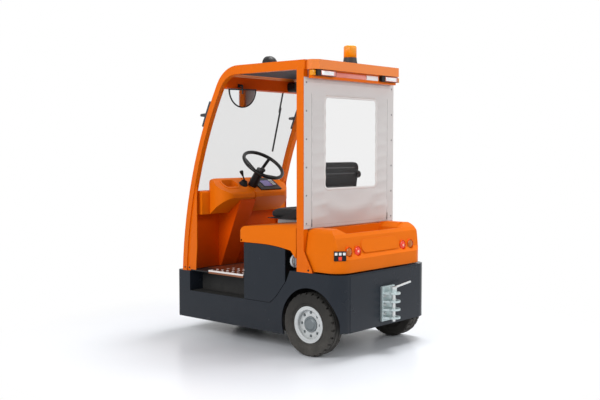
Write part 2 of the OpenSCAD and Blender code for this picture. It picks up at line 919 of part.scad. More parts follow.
module rear_cover() {
  color("#ea7420") difference() {
    union() {
      difference() {
        cover_body(0, cover_z);
        cover_body(cover_t, cover_z - over);
      }
      intersection() {
        cover_body(0, cover_z);
        union() {
          translate([0, tray_front_y - cover_t, tray_z - cover_t])
            linear_extrude(shoulder_z)
              translate([0, (tray_rear_y - tray_front_y) / 2 + cover_t])
            pill(2 * (tray_half + tray_slope + cover_t),
              tray_rear_y - tray_front_y + 2 * cover_t, tray_corner_r);
          lamp_places() translate([0, 0, -lamp_deep - cover_t])
            cylinder(h = lamp_deep * 2, r = lamp_pocket_r + cover_t);
          switch_place() translate([-switch_t - cover_t * 2, -switch_pitch * 1.7,
            -switch_h / 2 - cover_t])
            cube([switch_t * 4, switch_pitch * 3.4, switch_h + 2 * cover_t]);
        }
      }
      band();
    }
    tray_cut();
    lip_cut();
    lamp_places() translate([0, 0, -lamp_deep]) cylinder(h = lamp_deep * 3, r = lamp_pocket_r);
    switch_place() translate([-switch_t, -switch_pitch * 1.5, -switch_h / 2])
      cube([switch_t * 4, switch_pitch * 3, switch_h]);
    both_sides() block([pillar_in_x - seam, cover_front_y - over, cover_z - over],
      [cover_half + over, rear_pillar_end_y + seam, shoulder_z + over]);
  }
}

// Raised band between the lamps
module band() {
  intersection() {
    along_y(cover_foot_y - cover_corner_r, cover_foot_y + panel_band_t)
      translate([0, cover_waist_z + panel_band_h / 2])
        pill(2 * panel_band_half, panel_band_h, tray_corner_r);
    along_x(-panel_band_half, panel_band_half) polygon([
      [cover_waist_y - cover_t, cover_waist_z - panel_band_t],
        [cover_waist_y + panel_band_t, cover_waist_z],
      [cover_lip_y + cover_t + panel_band_t, cover_waist_z + panel_band_h],
      [cover_lip_y - cover_t, cover_waist_z + panel_band_h + panel_band_t]
    ]);
  }
}

module tray_cut() {
  intersection() {
    translate([0, (tray_rear_y + tray_front_y) / 2, tray_z]) linear_extrude(shoulder_z)
      pill(2 * (tray_half + tray_slope), tray_rear_y - tray_front_y, tray_corner_r);
    along_y(tray_front_y - over, tray_rear_y + over) tray_section(0);
  }
}

// Lowers the lip between the two shoulders
module lip_cut() {
  along_y(tray_rear_y - tray_corner_r, rear_y) polygon([
    [-tray_half, lip_z], [tray_half, lip_z],
    [tray_half + tray_slope * 1.5, shoulder_z + over],
      [-tray_half - tray_slope * 1.5, shoulder_z + over]
  ]);
}

module front_pillars() {
  color("#e3651a") both_sides() {
    rail_end = [[beam_y, roof_z], [beam_y, roof_z - rail_deep]];
    along_x(pillar_in_x, pillar_x) difference() {
      polygon(concat(
        skin_line(foot_tilt, tilt_high, 0, curve_steps), skin_line(tilt_high, 90, 0, bow_steps), rail_end,
        [for (i = [bow_steps:-1:1]) skin_point(tilt_high + (90 - tilt_high) * i / bow_steps,
          pillar_deep + (rail_deep - pillar_deep) * i / bow_steps)],
        skin_line(tilt_high, foot_tilt, pillar_deep, curve_steps)
      ));
      translate([front_y, 0]) square([gusset_back, nose_z]);
    }
    along_x(pillar_x - 3 * gusset_t, pillar_x - 2 * gusset_t) intersection() {
      skin_band(foot_tilt, tilt_at(gusset_top_z), pillar_deep, pillar_deep * 3, curve_steps);
      difference() {
        translate([front_y, nose_z]) square([gusset_y - front_y, roof_z]);
        translate([nose_end_y - gap, 0]) square([gusset_back, floor_top_z]);
      }
    }
  }
}

module rear_pillars() {
  color("#ee7a22") both_sides() {
    block([pillar_in_x, rear_pillar_y, deck_z], [pillar_x, rear_pillar_end_y, roof_z - rail_deep]);
    block([pillar_in_x, rear_pillar_end_y, deck_z],
      [pillar_x, rear_pillar_end_y + foot_len, deck_z + foot_flange_t]);
    along_x(pillar_x - foot_t, pillar_x) polygon([
      [rear_pillar_end_y, deck_z], [rear_pillar_end_y + foot_len, deck_z],
      [rear_pillar_end_y + foot_len, deck_z + foot_flange_t * 2], [rear_pillar_end_y, deck_z + foot_h]
    ]);
    rod_x(pillar_x - foot_t, pillar_x + foot_t / 2, rear_pillar_end_y + foot_len / 2,
      deck_z + foot_len / 2, screw_r);
  }
}

function roof_line(d) = skin_line(tilt_at(header_low_z), 90, d, curve_steps);

module roof_shell() {
  color("#e86d1b") difference() {
    union() {
      along_x(-pillar_in_x, pillar_in_x) polygon(concat(
        roof_line(0), [[beam_y, roof_z], [beam_y, roof_z - roof_skin_t]], reversed(roof_line(roof_skin_t))
      ));
      translate([0, 0, roof_z - beam_h]) linear_extrude(beam_h) polygon([
        [-roof_half, beam_y], [roof_half, beam_y], [roof_half, roof_end_y - roof_chamfer],
        [roof_half - roof_chamfer, roof_end_y], [-roof_half + roof_chamfer, roof_end_y],
        [-roof_half, roof_end_y - roof_chamfer]
      ]);
    }
    wiper_bore();
  }
}

module roof_liner() {
  color("#3a3d42") difference() {
    along_x(-pillar_in_x + seam, pillar_in_x - seam) polygon(concat(
      skin_line(liner_tilt, 90, roof_skin_t + gap, bow_steps),
      [[beam_y - gap, roof_z - roof_skin_t - gap], [beam_y - gap, roof_z - roof_skin_t - liner_t]],
      reversed(skin_line(liner_tilt, 90, roof_skin_t + liner_t, bow_steps))
    ));
    motor_box(seam);
  }
}

// Housing of the wiper motor, grown by d
module motor_box(d) {
  face = header_y + header_deep;
  along_y(face, face + motor_deep + d) translate([motor_x, header_low_z + motor_h / 2])
    pill(motor_w + 2 * d, motor_h + 2 * d, motor_w / 4);
}

module front_header() {
  color("#c9501a") difference() {
    along_x(-pillar_in_x, pillar_in_x) intersection() {
      polygon(concat(roof_line(roof_skin_t + gap), [[beam_y, header_low_z]]));
      translate([front_y, header_low_z]) square([header_y + header_deep - front_y,
        skin_point(header_tilt, roof_skin_t + gap)[1] - header_low_z]);
    }
    wiper_bore();
  }
}

module rear_header() {
  color("#d9621d") block([-pillar_in_x, rear_pillar_end_y + curtain_t + 2 * curtain_wave + 2 * gap,
    roof_z - beam_h - rear_header_h],
    [pillar_in_x, rear_pillar_end_y + curtain_t + 2 * curtain_wave + rear_header_deep,
      roof_z - beam_h]);
}

module windscreen() {
  color("#dfe6e8", 0.35) along_x(-pillar_in_x, pillar_in_x)
    skin_band(tilt_at(glass_low_z), tilt_at(header_low_z - gap), glass_inset, glass_inset + glass_t,
      curve_steps);
}

// Stretched plastic curtain with shallow waves and a window opening
module rear_curtain() {
  y0 = rear_pillar_end_y + gap;
  wave = [for (i = [0:curtain_steps]) let (x = -curtain_half + 2 * curtain_half * i / curtain_steps)
    [x, y0 + curtain_wave * (1 - cos(360 * curtain_waves * i / curtain_steps))]];
  color("#cfcac6") difference() {
    translate([0, 0, curtain_low_z]) linear_extrude(curtain_high_z - curtain_low_z)
      polygon(concat(wave, [for (i = [curtain_steps:-1:0]) wave[i] + [0, curtain_t]]));
    block([-window_half, y0 - over, window_low_z],
      [window_half, y0 + curtain_t + 2 * curtain_wave + over, window_high_z]);
  }
}

module curtain_window() {
  y0 = rear_pillar_end_y + gap + curtain_wave;
  color("#e9ebec", 0.35) block([-window_half + gap, y0, window_low_z + gap],
    [window_half - gap, y0 + window_t, window_high_z - gap]);
}

// Front panel under the windscreen and the inner wall of the footwell
module front_bulkhead() {
  color("#b8481a") {
    along_x(-pillar_in_x, pillar_in_x)
      skin_band(foot_tilt + tilt_share, tilt_at(glass_low_z), glass_inset, glass_inset + bulkhead_t,
        curve_steps);
    block([-pillar_in_x, bulkhead_y - bulkhead_t, nose_z], [pillar_in_x, bulkhead_y, dash_low_z]);
  }
}

// Side view of the dash: a slope that faces the driver, drawn in by d
slope_a = atan2(slope_drop, slope_run);
under_a = -atan2(under_back, under_z - dash_low_z);
function drawn_in(v, a, b, d) = v - d / (1 + cos(a - b)) * [cos(a) + cos(b), sin(a) + sin(b)];
function pod_line(d) = concat(
  [drawn_in([pod_back_y, dash_low_z], -90, 180, d)],
  arc([pod_back_y + crest_r, dash_top_z - crest_r], crest_r - d, 180, 90, bow_steps),
  [drawn_in([slope_y, dash_top_z], 90, 90 - slope_a, d)],
  arc([dash_rear_y - dash_edge_r, slope_low_z - dash_edge_r * (1 - sin(slope_a)) / cos(slope_a)],
    dash_edge_r - d, 90 - slope_a, 0, bow_steps),
  [drawn_in([dash_rear_y, under_z], 0, under_a, d), drawn_in([under_y, dash_low_z], under_a, -90, d)]
);

// Both parts of the dash and the low wings that join them to the pillars, drawn in by d
module dash_body(d) {
  low = dash_low_z + d;
  intersection() {
    along_x(-pod_half + d, pod_half - d) polygon(pod_line(d));
    translate([0, 0, low]) linear_extrude(dash_top_z - low)
      plan(pod_half - d, pod_back_y + d, dash_rear_y - d, pod_front_r - d, pod_rear_r - d);
    along_y(front_y, dash_rear_y + dash_edge_r)
      crown_section(pod_half - d, low, dash_top_z - d, dash_end_r - d);
  }
  along_x(-dash_half + d, dash_half - d) polygon(concat(
    skin_line(tilt_at(low), tilt_at(wing_top_z - d), dash_front_in + d, bow_steps),
    arc([wing_y - wing_r, wing_top_z - wing_r], wing_r - d, 90, 0, bow_steps), [[wing_y - d, low]]
  ));
}

module dash_pocket(d) {
  translate([0, 0, dash_top_z - pocket_deep - d]) linear_extrude(dash_top_z)
    translate([(pocket_x[0] + pocket_x[1]) / 2, (pocket_y[0] + pocket_y[1]) / 2])
    pill(pocket_x[1] - pocket_x[0] + 2 * d, pocket_y[1] - pocket_y[0] + 2 * d, pocket_r + d);
}

// Frame of the dash's slope: the origin is its middle, +Z points away from it
module on_slope() {
  translate([0, (slope_y + dash_rear_y) / 2, (dash_top_z + slope_low_z) / 2]) rotate([-slope_a, 0, 0])
    children();
}

module dash_console() {
  rim_y = ((pocket_y[0] + pocket_y[1]) - (slope_y + dash_rear_y)) / 2 / cos(slope_a);
  color("#e06a1e") difference() {
    union() {
      dash_body(0);
      on_slope() translate([(pocket_x[0] + pocket_x[1]) / 2, rim_y, -cover_t])
        linear_extrude(cover_t + pocket_rim_h)
        pill(pocket_x[1] - pocket_x[0] + 2 * pocket_rim_w,
          (pocket_y[1] - pocket_y[0]) / cos(slope_a) + 2 * pocket_rim_w, pocket_r + pocket_rim_w);
    }
    difference() {
      dash_body(cover_t);
      dash_pocket(cover_t);
      along_x(parting_x[0] - cover_t, parting_x[1] + cover_t) difference() {
        polygon(pod_line(0));
        polygon(pod_line(parting_deep + cover_t));
      }
      on_slope() translate([lever_x, lever_run, 0])
        block([-lever_ball_r * 2, -lever_rod_r * 3 - cover_t, -lever_pivot - lever_rod_r * 3 - cover_t],
          [lever_ball_r * 2, lever_rod_r * 3 + cover_t, 0]);
    }
    along_x(parting_x[0], parting_x[1]) difference() {
      polygon(pod_line(-over));
      polygon(pod_line(parting_deep));
      translate([front_y, 0]) square([slope_y - front_y, roof_z]);
    }
    block([-pod_half + dash_open_edge, bulkhead_y + over, dash_low_z - over],
      [pod_half - dash_open_edge, wing_y - dash_open_edge, dash_low_z + dash_open_edge]);
    dash_pocket(0);
    on_slope() translate([lever_x, lever_run, 0]) {
      block([-lever_rod_r - gap, -lever_rod_r * 3, -lever_pivot - lever_rod_r * 3],
        [lever_rod_r + gap, lever_rod_r * 3, over]);
      rod_x(-lever_ball_r * 2 - over, lever_ball_r * 2 + over, 0, -lever_pivot, lever_pin_r + fit);
    }
    on_column() translate([0, 0, -hub_drop - shaft_len - over])
      cylinder(h = shaft_len, r = shaft_r + seam);
  }
}

module column_cover() {
  color("#cf5a1c") difference() {
    along_x(column_x[0], column_x[1]) polygon(column_line(0));
    along_x(column_x[0] + cover_t, column_x[1] - cover_t) polygon(column_line(cover_t));
  }
}

// The cover's top follows the dash's underside
function column_line(d) = [
  [bulkhead_y - d, floor_top_z - d], [bulkhead_y + column_foot_deep - d, floor_top_z - d],
  [bulkhead_y + column_deep - d,
    under_z - (dash_rear_y - bulkhead_y - column_deep) / tan(-under_a) - column_drop - d * 2],
  [under_y - d, dash_low_z - column_drop - d * 2], [bulkhead_y - d, dash_low_z - column_drop - d * 2]
];

// Frame of the steering column: the origin is the middle of the wheel, +Z points at the driver
module on_column() {
  translate([0, wheel_y, wheel_z]) rotate([-column_tilt, 0, 0]) children();
}

module instrument_display() {
  color("#15171a") {
    on_slope() translate([display_mid_x, 0, gap]) difference() {
      translate([-display_half, -display_len / 2, 0]) cube([2 * display_half, display_len, display_t]);
      translate([-screen_half, -screen_len / 2, display_t - screen_t])
        cube([2 * screen_half, screen_len, screen_t + over]);
    }
    difference() {
      on_column() translate([0, 0, -hub_drop - hub_clear - collar_len])
        cylinder(h = collar_len, r = collar_r);
      on_column() translate([0, 0, -hub_drop - hub_clear - collar_len - over])
        cylinder(h = collar_len + 2 * over, r = shaft_r + fit);
      on_slope() translate([-collar_r * 2, -collar_r * 4, gap - collar_len])
        cube([collar_r * 4, collar_r * 8, collar_len]);
    }
  }
}

module direction_lever() {
  color("#1a1c1e") on_slope() translate([lever_x, lever_run, -lever_pivot]) {
    rotate([0, 90, 0]) cylinder(h = lever_ball_r * 3, r = lever_pin_r, center = true);
    cylinder(h = lever_pivot + boot_h, r = lever_rod_r);
    translate([0, 0, lever_pivot + boot_h]) sphere(lever_knuckle_r);
    translate([0, 0, lever_pivot + boot_h]) rotate([slope_a, lever_lean, 0]) {
      cylinder(h = lever_len - lever_knob_len + over, r = lever_rod_r);
      translate([0, 0, lever_len - lever_knob_len]) rotate_extrude() polygon(concat(
        [[0, 0], [lever_knuckle_r, 0]],
        arc([lever_knob_r / 2, lever_knob_len - lever_knob_r], lever_knob_r / 2, 0, 90, bow_steps),
        [[0, lever_knob_len - lever_knob_r / 2]]
      ));
    }
  }
}

module lever_boot() {
  color("#202224") on_slope() translate([lever_x, lever_run, 0]) rotate_extrude() polygon([
    [boot_r, 0], [boot_r, boot_wall], [boot_r - boot_wall * 2, boot_wall * 2],
      [boot_mouth_r + boot_wall, boot_h],
    [boot_mouth_r, boot_h], [boot_r - boot_wall * 4, boot_wall], [boot_r - boot_wall * 4, 0]
  ]);
}

module steering_wheel() {
  color("#16181a") on_column() {
    rotate_extrude() translate([wheel_r - rim_tube_r, 0]) circle(rim_tube_r, $fn = 32);
    translate([0, 0, -hub_drop]) cylinder(h = hub_h, r = hub_r);
    translate([0, 0, -hub_drop - shaft_len]) cylinder(h = shaft_len + over, r = shaft_r);
    for (i = [0:spoke_count - 1]) rotate([0, 0, 90 + 360 * i / spoke_count]) rotate([90, 0, 0])
      translate([0, 0, -spoke_w / 2]) linear_extrude(spoke_w) polygon([
        [hub_r / 2, -hub_drop + over], [hub_r, -hub_drop + over],
          [wheel_r - 2 * rim_tube_r, -spoke_t],
        [wheel_r - rim_tube_r, -spoke_t / 2], [wheel_r - rim_tube_r, spoke_t / 2],
        [wheel_r - 2.5 * rim_tube_r, spoke_t / 3], [hub_r, -hub_drop + spoke_t * 2],
          [hub_r / 2, -hub_drop + spoke_t * 2]
      ]);
    at_knob() translate([0, 0, rim_tube_r - over]) cylinder(h = knob_post_h + over, r = knob_post_r);
  }
}

// Place of the spinner knob on the rim
module at_knob() {
  rotate([0, 0, -knob_angle]) translate([wheel_r - rim_tube_r, 0, 0]) children();
}

module spinner_knob() {
  color("#121314") on_column() at_knob() translate([0, 0, rim_tube_r + gap]) difference() {
    rotate_extrude() polygon(concat(
      [[0, 0], [knob_post_r * 2, 0]],
      arc([knob_r / 2, knob_h - knob_r], knob_r / 2, -60, 90, bow_steps),
      [[0, knob_h - knob_r / 2]]
    ));
    translate([0, 0, -over]) cylinder(h = knob_post_h + over + gap, r = knob_post_r + fit);
  }
}

module pedal(x) {
  color("#1d1f21") translate([x, pedal_y, floor_top_z + pedal_lift]) {
    difference() {
      union() {
        rotate([0, 90, 0]) cylinder(h = pedal_w, r = pedal_boss_r, center = true);
        rotate([pedal_lean, 0, 0]) translate([over - pedal_w / 2, -pedal_t / 2, 0])
          cube([pedal_w - 2 * over, pedal_t, pedal_len]);
        for (i = [1:5]) rotate([pedal_lean, 0, 0])
          translate([-pedal_w / 2 + pedal_t, pedal_t / 2, pedal_len * i / 6])
            cube([pedal_w - 2 * pedal_t, pedal_t / 4, pedal_t / 2]);
      }
      rotate([0, 90, 0]) cylinder(h = pedal_w * 2, r = pedal_axle_r + fit, center = true);
    }
  }
}

// Plinth and slide rails on the seat deck
module seat_base() {
  color("#7d8286") {
    y0 = seat_y - seat_plinth_len / 2;
    y1 = seat_y + seat_plinth_len / 2;
    along_x(-seat_plinth_half, seat_plinth_half) polygon([
      [y0, hood_top(y0) + gap], [y1, hood_top(y1) + gap], [y1, plinth_z], [y0, plinth_z]
    ]);
    both_sides() block([seat_plinth_half - seat_rail_w, y0, plinth_z],
      [seat_plinth_half - seat_rail_w / 2, y1, plinth_z + seat_pan_lift - gap]);
  }
}

module seat_pan() {
  color("#9aa0a4") difference() {
    union() {
      block([-pan_half, seat_y - seat_len / 2 + pad_inset, pan_z],
        [pan_half, seat_y + seat_len / 2 - pad_inset, pan_z + seat_pan_t - gap]);
      both_sides() block([seat_plinth_half - seat_rail_w * 1.5 - gap, seat_y - seat_plinth_len / 3,
        plinth_z + gap],
        [seat_plinth_half - seat_rail_w - gap, seat_y + seat_plinth_len / 3, pan_z]);
      both_sides() along_x(pan_half - bracket_t, pan_half) polygon([
        [seat_y - bracket_foot, pan_z], [seat_y + bracket_foot, pan_z],
          [recline_y + recline_r * 2, recline_z - recline_r],
        [recline_y + recline_r * 2, recline_z + recline_r * 2],
          [recline_y - recline_r * 2, recline_z + recline_r * 2],
        [seat_y - bracket_foot, pan_z + seat_pan_t]
      ]);
    }
    rod_x(-half_w, half_w, recline_y, recline_z, recline_r + fit);
  }
}

// Closed soft pad: rings of a drawn-in outline under a crown
function pad_outline(a, half_x, half_y) =
  let (c = cos(a), s = sin(a), pull = 1 - pad_pull_share * pow(abs(cos(2 * a)), 3))
  [half_x * sign(c) * pow(abs(c), pad_square_share),
    half_y * sign(s) * pow(abs(s), pad_square_share)] * pull;
pad_ring_share = [[0.93, 0], [0.985, 0.1], [1, 0.35], [1, 0.62], [0.975, 0.84], [0.92, 0.96]];
pad_crown_share = [[0.82, 0.22], [0.68, 0.5], [0.5, 0.76], [0.3, 0.93], [0.12, 1]];

module soft_pad(half_x, half_y, h, crown) {
  rings = concat([for (r = pad_ring_share) [r[0], r[1] * h]],
    [for (r = pad_crown_share) [r[0], h + r[1] * crown - h * 0.02]]);
  n = pad_points;
  m = len(rings);
  points = concat(
    [for (r = rings, i = [0:n - 1])
      let (o = pad_outline(360 * i / n, half_x, half_y)) [o[0] * r[0], o[1] * r[0], r[1]]],
    [[0, 0, 0], [0, 0, h + crown]]
  );
  faces = concat(
    [for (k = [0:m - 2], i = [0:n - 1]) [k * n + i, (k + 1) * n + i, k * n + (i + 1) % n]],
    [for (k = [0:m - 2], i = [0:n - 1]) [k * n + (i + 1) % n, (k + 1) * n + i,
      (k + 1) * n + (i + 1) % n]],
    [for (i = [0:n - 1]) [m * n, i, (i + 1) % n]],
    [for (i = [0:n - 1]) [m * n + 1, (m - 1) * n + (i + 1) % n, (m - 1) * n + i]]
  );
  polyhedron(points, faces);
}

module seat_cushion() {
  color("#1b1c1e") translate([0, seat_y, pan_z + seat_pan_t])
    soft_pad(seat_w / 2, seat_len / 2, cushion_h, cushion_crown);
}

// Frame of the backrest: the origin is the recline pivot, +Z runs up the leaning back
module on_back() {
  translate([0, recline_y, recline_z]) rotate([-back_lean, 0, 0]) children();
}

module backrest_shell() {
  tall = (back_z - recline_z) / cos(back_lean);
  color("#232528") on_back() {
    translate([0, back_shell_t / 2 + recline_r, 0]) rotate([90, 0, 0])
      linear_extrude(back_shell_t, center = true)
      translate([0, tall / 2 + recline_r]) pill(back_w, tall - recline_r * 2, back_w / 8);
    rod_x(-pan_half - gap - bracket_t / 2, pan_half + gap + bracket_t / 2, 0, 0, recline_r);
    for (side = [-1, 1]) block([side * recline_x - recline_r, 0, -recline_r / 2],
      [side * recline_x + recline_r, recline_r + back_shell_t / 2, recline_r * 4]);
    rod_x(-back_w / 2 - dial_t, -back_w / 2 + dial_t,
      back_shell_t / 2 + recline_r, tall * 0.72, dial_r);
  }
}

module backrest_cushion() {
  tall = (back_z - recline_z) / cos(back_lean);
  color("#1b1c1e") on_back() translate([0, recline_r - gap, tall / 2 + recline_r * 2]) rotate([90, 0, 0])
    soft_pad(back_w / 2 - dial_t, tall / 2 - recline_r * 3, back_pad_t, cushion_crown);
}

module mirror_stalk() {
  color("#17181a") {
    face = header_y + header_deep;
    arm_z = header_low_z + header_h / 2;
    block([mirror_x - stalk_r * 2, face, arm_z - stalk_r * 2],
      [mirror_x + stalk_r * 2, face + stalk_r / 2, arm_z + stalk_r * 2]);
    translate([mirror_x, mirror_y, arm_z]) rotate([90, 0, 0])
      cylinder(h = mirror_y - face, r = stalk_r);
    translate([mirror_x, mirror_y, arm_z]) sphere(stalk_r);
    translate([mirror_x, mirror_y, mirror_top_z - mirror_socket])
      cylinder(h = arm_z - mirror_top_z + mirror_socket, r = stalk_r);
  }
}

// Half-round mirror head with its flat side up
module cab_mirror() {
  color("#8d9296") translate([mirror_x, mirror_y, mirror_top_z]) rotate([0, 0, -mirror_turn])
    difference() {
    union() {
      along_y(-mirror_t / 2, mirror_t / 2) polygon(concat([[-mirror_w / 2, 0]],
        [for (i = [0:curve_steps * 2])
          let (a = 180 + 180 * i / (curve_steps * 2)) [mirror_w / 2 * cos(a),
          mirror_h * sin(a)]]));
      translate([0, 0, -mirror_socket * 1.5]) cylinder(h = mirror_socket * 1.5, r = stalk_r * 2);
    }
    translate([0, 0, -mirror_socket - gap]) cylinder(h = mirror_h, r = stalk_r + fit);
  }
}

module wiper_motor() {
  color("#191b1d") motor_box(0);
}

// Frame of the wiper: the origin is on the roof's skin, +Z points out along the wiper's shaft
module on_wiper() {
  translate([motor_x, skin_point(wiper_place_tilt, 0)[0], skin_point(wiper_place_tilt, 0)[1]])
    rotate([90 - wiper_tilt, 0, 0]) children();
}

module wiper_bore() {
  on_wiper() translate([0, 0, -header_deep * 2]) cylinder(h = header_deep * 4, r = wiper_shaft_r + fit);
}

module wiper_arm() {
  color("#1a1b1d") on_wiper() {
    translate([0, 0, -roof_skin_t])
      cylinder(h = roof_skin_t + wiper_off + wiper_arm_t, r = wiper_shaft_r);
    translate([0, 0, wiper_off]) cylinder(h = wiper_arm_t * 1.5, r = wiper_boss_r);
    rotate([0, 0, -wiper_lean]) {
      translate([-wiper_arm_t / 2, -wiper_arm_len, wiper_off + wiper_arm_t / 4])
        cube([wiper_arm_t, wiper_arm_len, wiper_arm_t]);
      translate([-wiper_arm_t / 2, -wiper_len, wiper_off - wiper_arm_t / 2])
        cube([wiper_arm_t, wiper_len - wiper_arm_len * 0.8, wiper_arm_t]);
      translate([-wiper_arm_t / 6, -wiper_len, wiper_off - wiper_arm_t])
        cube([wiper_arm_t / 3, wiper_len - wiper_arm_len * 0.8, wiper_arm_t]);
    }
  }
}

module pillar_lamps() {
  z0 = lamp_bar_z;
  mid = skin_point(tilt_at(z0 + lamp_bar_h / 2), 0);
  color("#2a2d31") both_sides() {
    along_x(pillar_x - lamp_bar_w - seam, pillar_x - seam)
      skin_band(tilt_at(z0), tilt_at(z0 + lamp_bar_h), -lamp_bar_t, -gap, bow_steps);
    translate([pillar_x - pillar_w / 2, mid[0] - lamp_bar_t / 2, mid[1]]) rotate([90, 0, 0])
      cylinder(h = lamp_head_len + lamp_bar_t / 2, r1 = lamp_head_r * 0.8, r2 = lamp_head_r / 2);
  }
}

module roof_lamp() {
  color("#17191b") difference() {
    union() {
      translate([0, roof_lamp_y, roof_lamp_z]) rotate([-90, 0, 0]) rotate_extrude() polygon(concat(
        [[0, 0], [roof_lamp_r, 0]],
        [for (i = [0:bow_steps]) let (a = 90 * i / bow_steps) [roof_lamp_r * cos(a),
          roof_lamp_deep * (1 + 2 * sin(a)) / 3]]
      ));
      translate([0, roof_lamp_y + roof_lamp_deep / 2, roof_z - roof_lamp_r])
        cylinder(h = roof_lamp_r, r = roof_lamp_stem);
    }
    along_x(-roof_lamp_r, roof_lamp_r)
      polygon(concat(skin_line(tilt_at(header_low_z), 90, -gap, curve_steps),
      [[beam_y, header_low_z], [header_y, header_low_z]]));
    translate([0, roof_lamp_y - over, roof_lamp_z]) rotate([-90, 0, 0])
      cylinder(h = roof_lamp_stem / 2 + over, r = roof_lamp_r - cover_t);
  }
}

module beacon_base() {
  color("#3b3f44") translate([0, beacon_y, roof_z]) {
    cylinder(h = beacon_base_h * 0.3, r = beacon_base_r);
    cylinder(h = beacon_base_h, r1 = beacon_base_r, r2 = beacon_r);
  }
}

// Two-part ribbed lens
module beacon_lens() {
  tall = beacon_h - beacon_base_h;
  color("#f59a13") translate([0, beacon_y, roof_z + beacon_base_h]) difference() {
    rotate_extrude() polygon(concat([[0, 0], [beacon_r, 0], [beacon_r, tall - beacon_r / 3]],
      arc([beacon_r * 2 / 3, tall - beacon_r / 3], beacon_r / 3, 0, 90, bow_steps), [[0, tall]]));
    translate([0, 0, tall / 2]) rotate_extrude() translate([beacon_r, 0]) circle(over, $fn = 24);
  }
}

module work_lamps() {
  color("#26282b") both_sides() difference() {
    y0 = rear_pillar_end_y + curtain_t + 2 * curtain_wave + rear_header_deep;
    along_y(y0, y0 + work_lamp_deep) translate([work_lamp_x, roof_z - beam_h - work_lamp_h / 2 - over])
      pill(2 * work_lamp_half, work_lamp_h, work_lamp_h / 4);
    along_y(y0 + work_lamp_deep - over, y0 + work_lamp_deep + over)
      translate([work_lamp_x, roof_z - beam_h - work_lamp_h / 2 - over])
      pill(2 * (work_lamp_half - work_lamp_h / 3), work_lamp_h - 2 * cover_t, work_lamp_h / 6);
  }
}

module tail_lens(x) {
  translate([x, lamp_face_y - lamp_deep, lamp_z]) rotate([-90, 0, 0]) rotate_extrude() polygon(concat(
    [[0, 0], [lamp_r, 0], [lamp_r, lamp_deep * 0.7]],
    [for (i = [1:bow_steps]) let (a = 90 * i / bow_steps) [lamp_r * cos(a),
      lamp_deep * (0.7 + 0.3 * sin(a))]]
  ));
}

module red_lamps() {
  color("#d8352a") both_sides() tail_lens(red_x);
}

module amber_lamps() {
  color("#c8741e") both_sides() tail_lens(amber_x);
}

// Switch plate on the rounded corner, with a window for each rocker
module switch_plate() {
  color("#1c1e20") switch_place() difference() {
    translate([-switch_t, -switch_pitch * 1.5 + gap, -switch_h / 2 + gap])
      cube([switch_t + over, switch_pitch * 3 - 2 * gap, switch_h - 2 * gap]);
    for (i = [-1, 0, 1]) translate([over - button_guide - button_travel,
      i * switch_pitch - switch_w / 2, -switch_h / 2 + cover_t])
      cube([switch_t, switch_w, button_h]);
  }
}

module rear_button(i, tint) {
  color(tint) switch_place()
    translate([over - button_guide + gap, i * switch_pitch - switch_w / 2 + gap,
      -switch_h / 2 + cover_t + gap]) cube([button_t, switch_w - 2 * gap, button_h - 2 * gap]);
}

// Outline of one jaw plate: wide at the back plate, round at the pin
module jaw_outline() {
  polygon([
    [-jaw_w / 2, jaw_base_y], [jaw_w / 2, jaw_base_y], [jaw_nose_r, pin_y], [-jaw_nose_r, pin_y]
  ]);
  translate([0, pin_y]) circle(jaw_nose_r);
}

module coupling_body() {
  color("#c3cccd") difference() {
    union() {
      block([-jaw_w / 2, jaw_base_y, coupling_low_z],
        [jaw_w / 2, jaw_base_y + jaw_back_t, coupling_top_z]);
      for (i = [0:jaw_count - 1]) translate([0, 0, jaw_z + jaw_pitch * i]) linear_extrude(jaw_t)
        jaw_outline();
      translate([0, pin_y, jaw_top_z + jaw_t - over]) cylinder(h = boss_h + over, r = boss_r);
    }
    translate([0, pin_y, coupling_low_z - over]) cylinder(h = coupling_top_z, r = pin_r + fit);
  }
}

module coupling_pin() {
  top = jaw_top_z + jaw_t + boss_h + gap;
  color("#dfe2e3") translate([0, pin_y, 0]) {
    translate([0, 0, pin_low_z]) cylinder(h = top - pin_low_z + over, r = pin_r);
    translate([0, 0, top]) cylinder(h = pin_head_h, r = boss_r);
    translate([0, 0, top + pin_head_h / 2]) rotate([0, -90 + handle_rise, 0])
      cylinder(h = handle_len, r = handle_r);
  }
}

module rear_axle() {
  color("#4a4f54") {
    rod_x(-axle_end_x, axle_end_x, axle_y, tyre_r, axle_tube_r);
    rod_x(-gearbox_w / 2, gearbox_w / 2, axle_y, tyre_r, gearbox_r);
    translate([0, axle_y, tyre_r]) rotate([90, 0, 0])
      cylinder(h = gearbox_r + motor_len / 2, r = motor_r);
    rod_x(-hub_bore_x, hub_bore_x, axle_y, tyre_r, hub_stub_r);
    both_sides() block([rail_x, axle_y - axle_tube_r, tyre_r],
      [rail_x + rail_w, axle_y + axle_tube_r, rail_z]);
  }
}

// Frame of a wheel: the origin is the middle of its tread, +Z points outwards along the axle
module wheel_frame(side, x, y, r) {
  translate([side * x, y, r]) rotate([0, side * 90, 0]) children();
}

// Rim with a flange on each side, a bead seat and a disc with stud holes
module rim(flange_r, half, disc_z, bore) {
  difference() {
    rotate_extrude() polygon([
      [bead_r - rim_wall, -half], [flange_r, -half], [flange_r, -half + rim_wall],
      [bead_r, -half + rim_wall], [bead_r, half - rim_wall], [flange_r, half - rim_wall],
      [flange_r, half], [bead_r - rim_wall, half],
      [bead_r - 2 * rim_wall, half - rim_wall], [bead_r - 2 * rim_wall, disc_z + disc_t],
        [bore, disc_z + disc_t],
      [bore, disc_z], [bead_r - 2 * rim_wall, disc_z], [bead_r - rim_wall, disc_z - rim_wall * 2]
    ]);
    for (i = [0:nut_count - 1]) rotate([0, 0, 360 * i / nut_count])
      translate([nut_ring_r, 0, disc_z - over])
      cylinder(h = disc_t + 2 * over, r = nut_r + over, $fn = 24);
  }
}

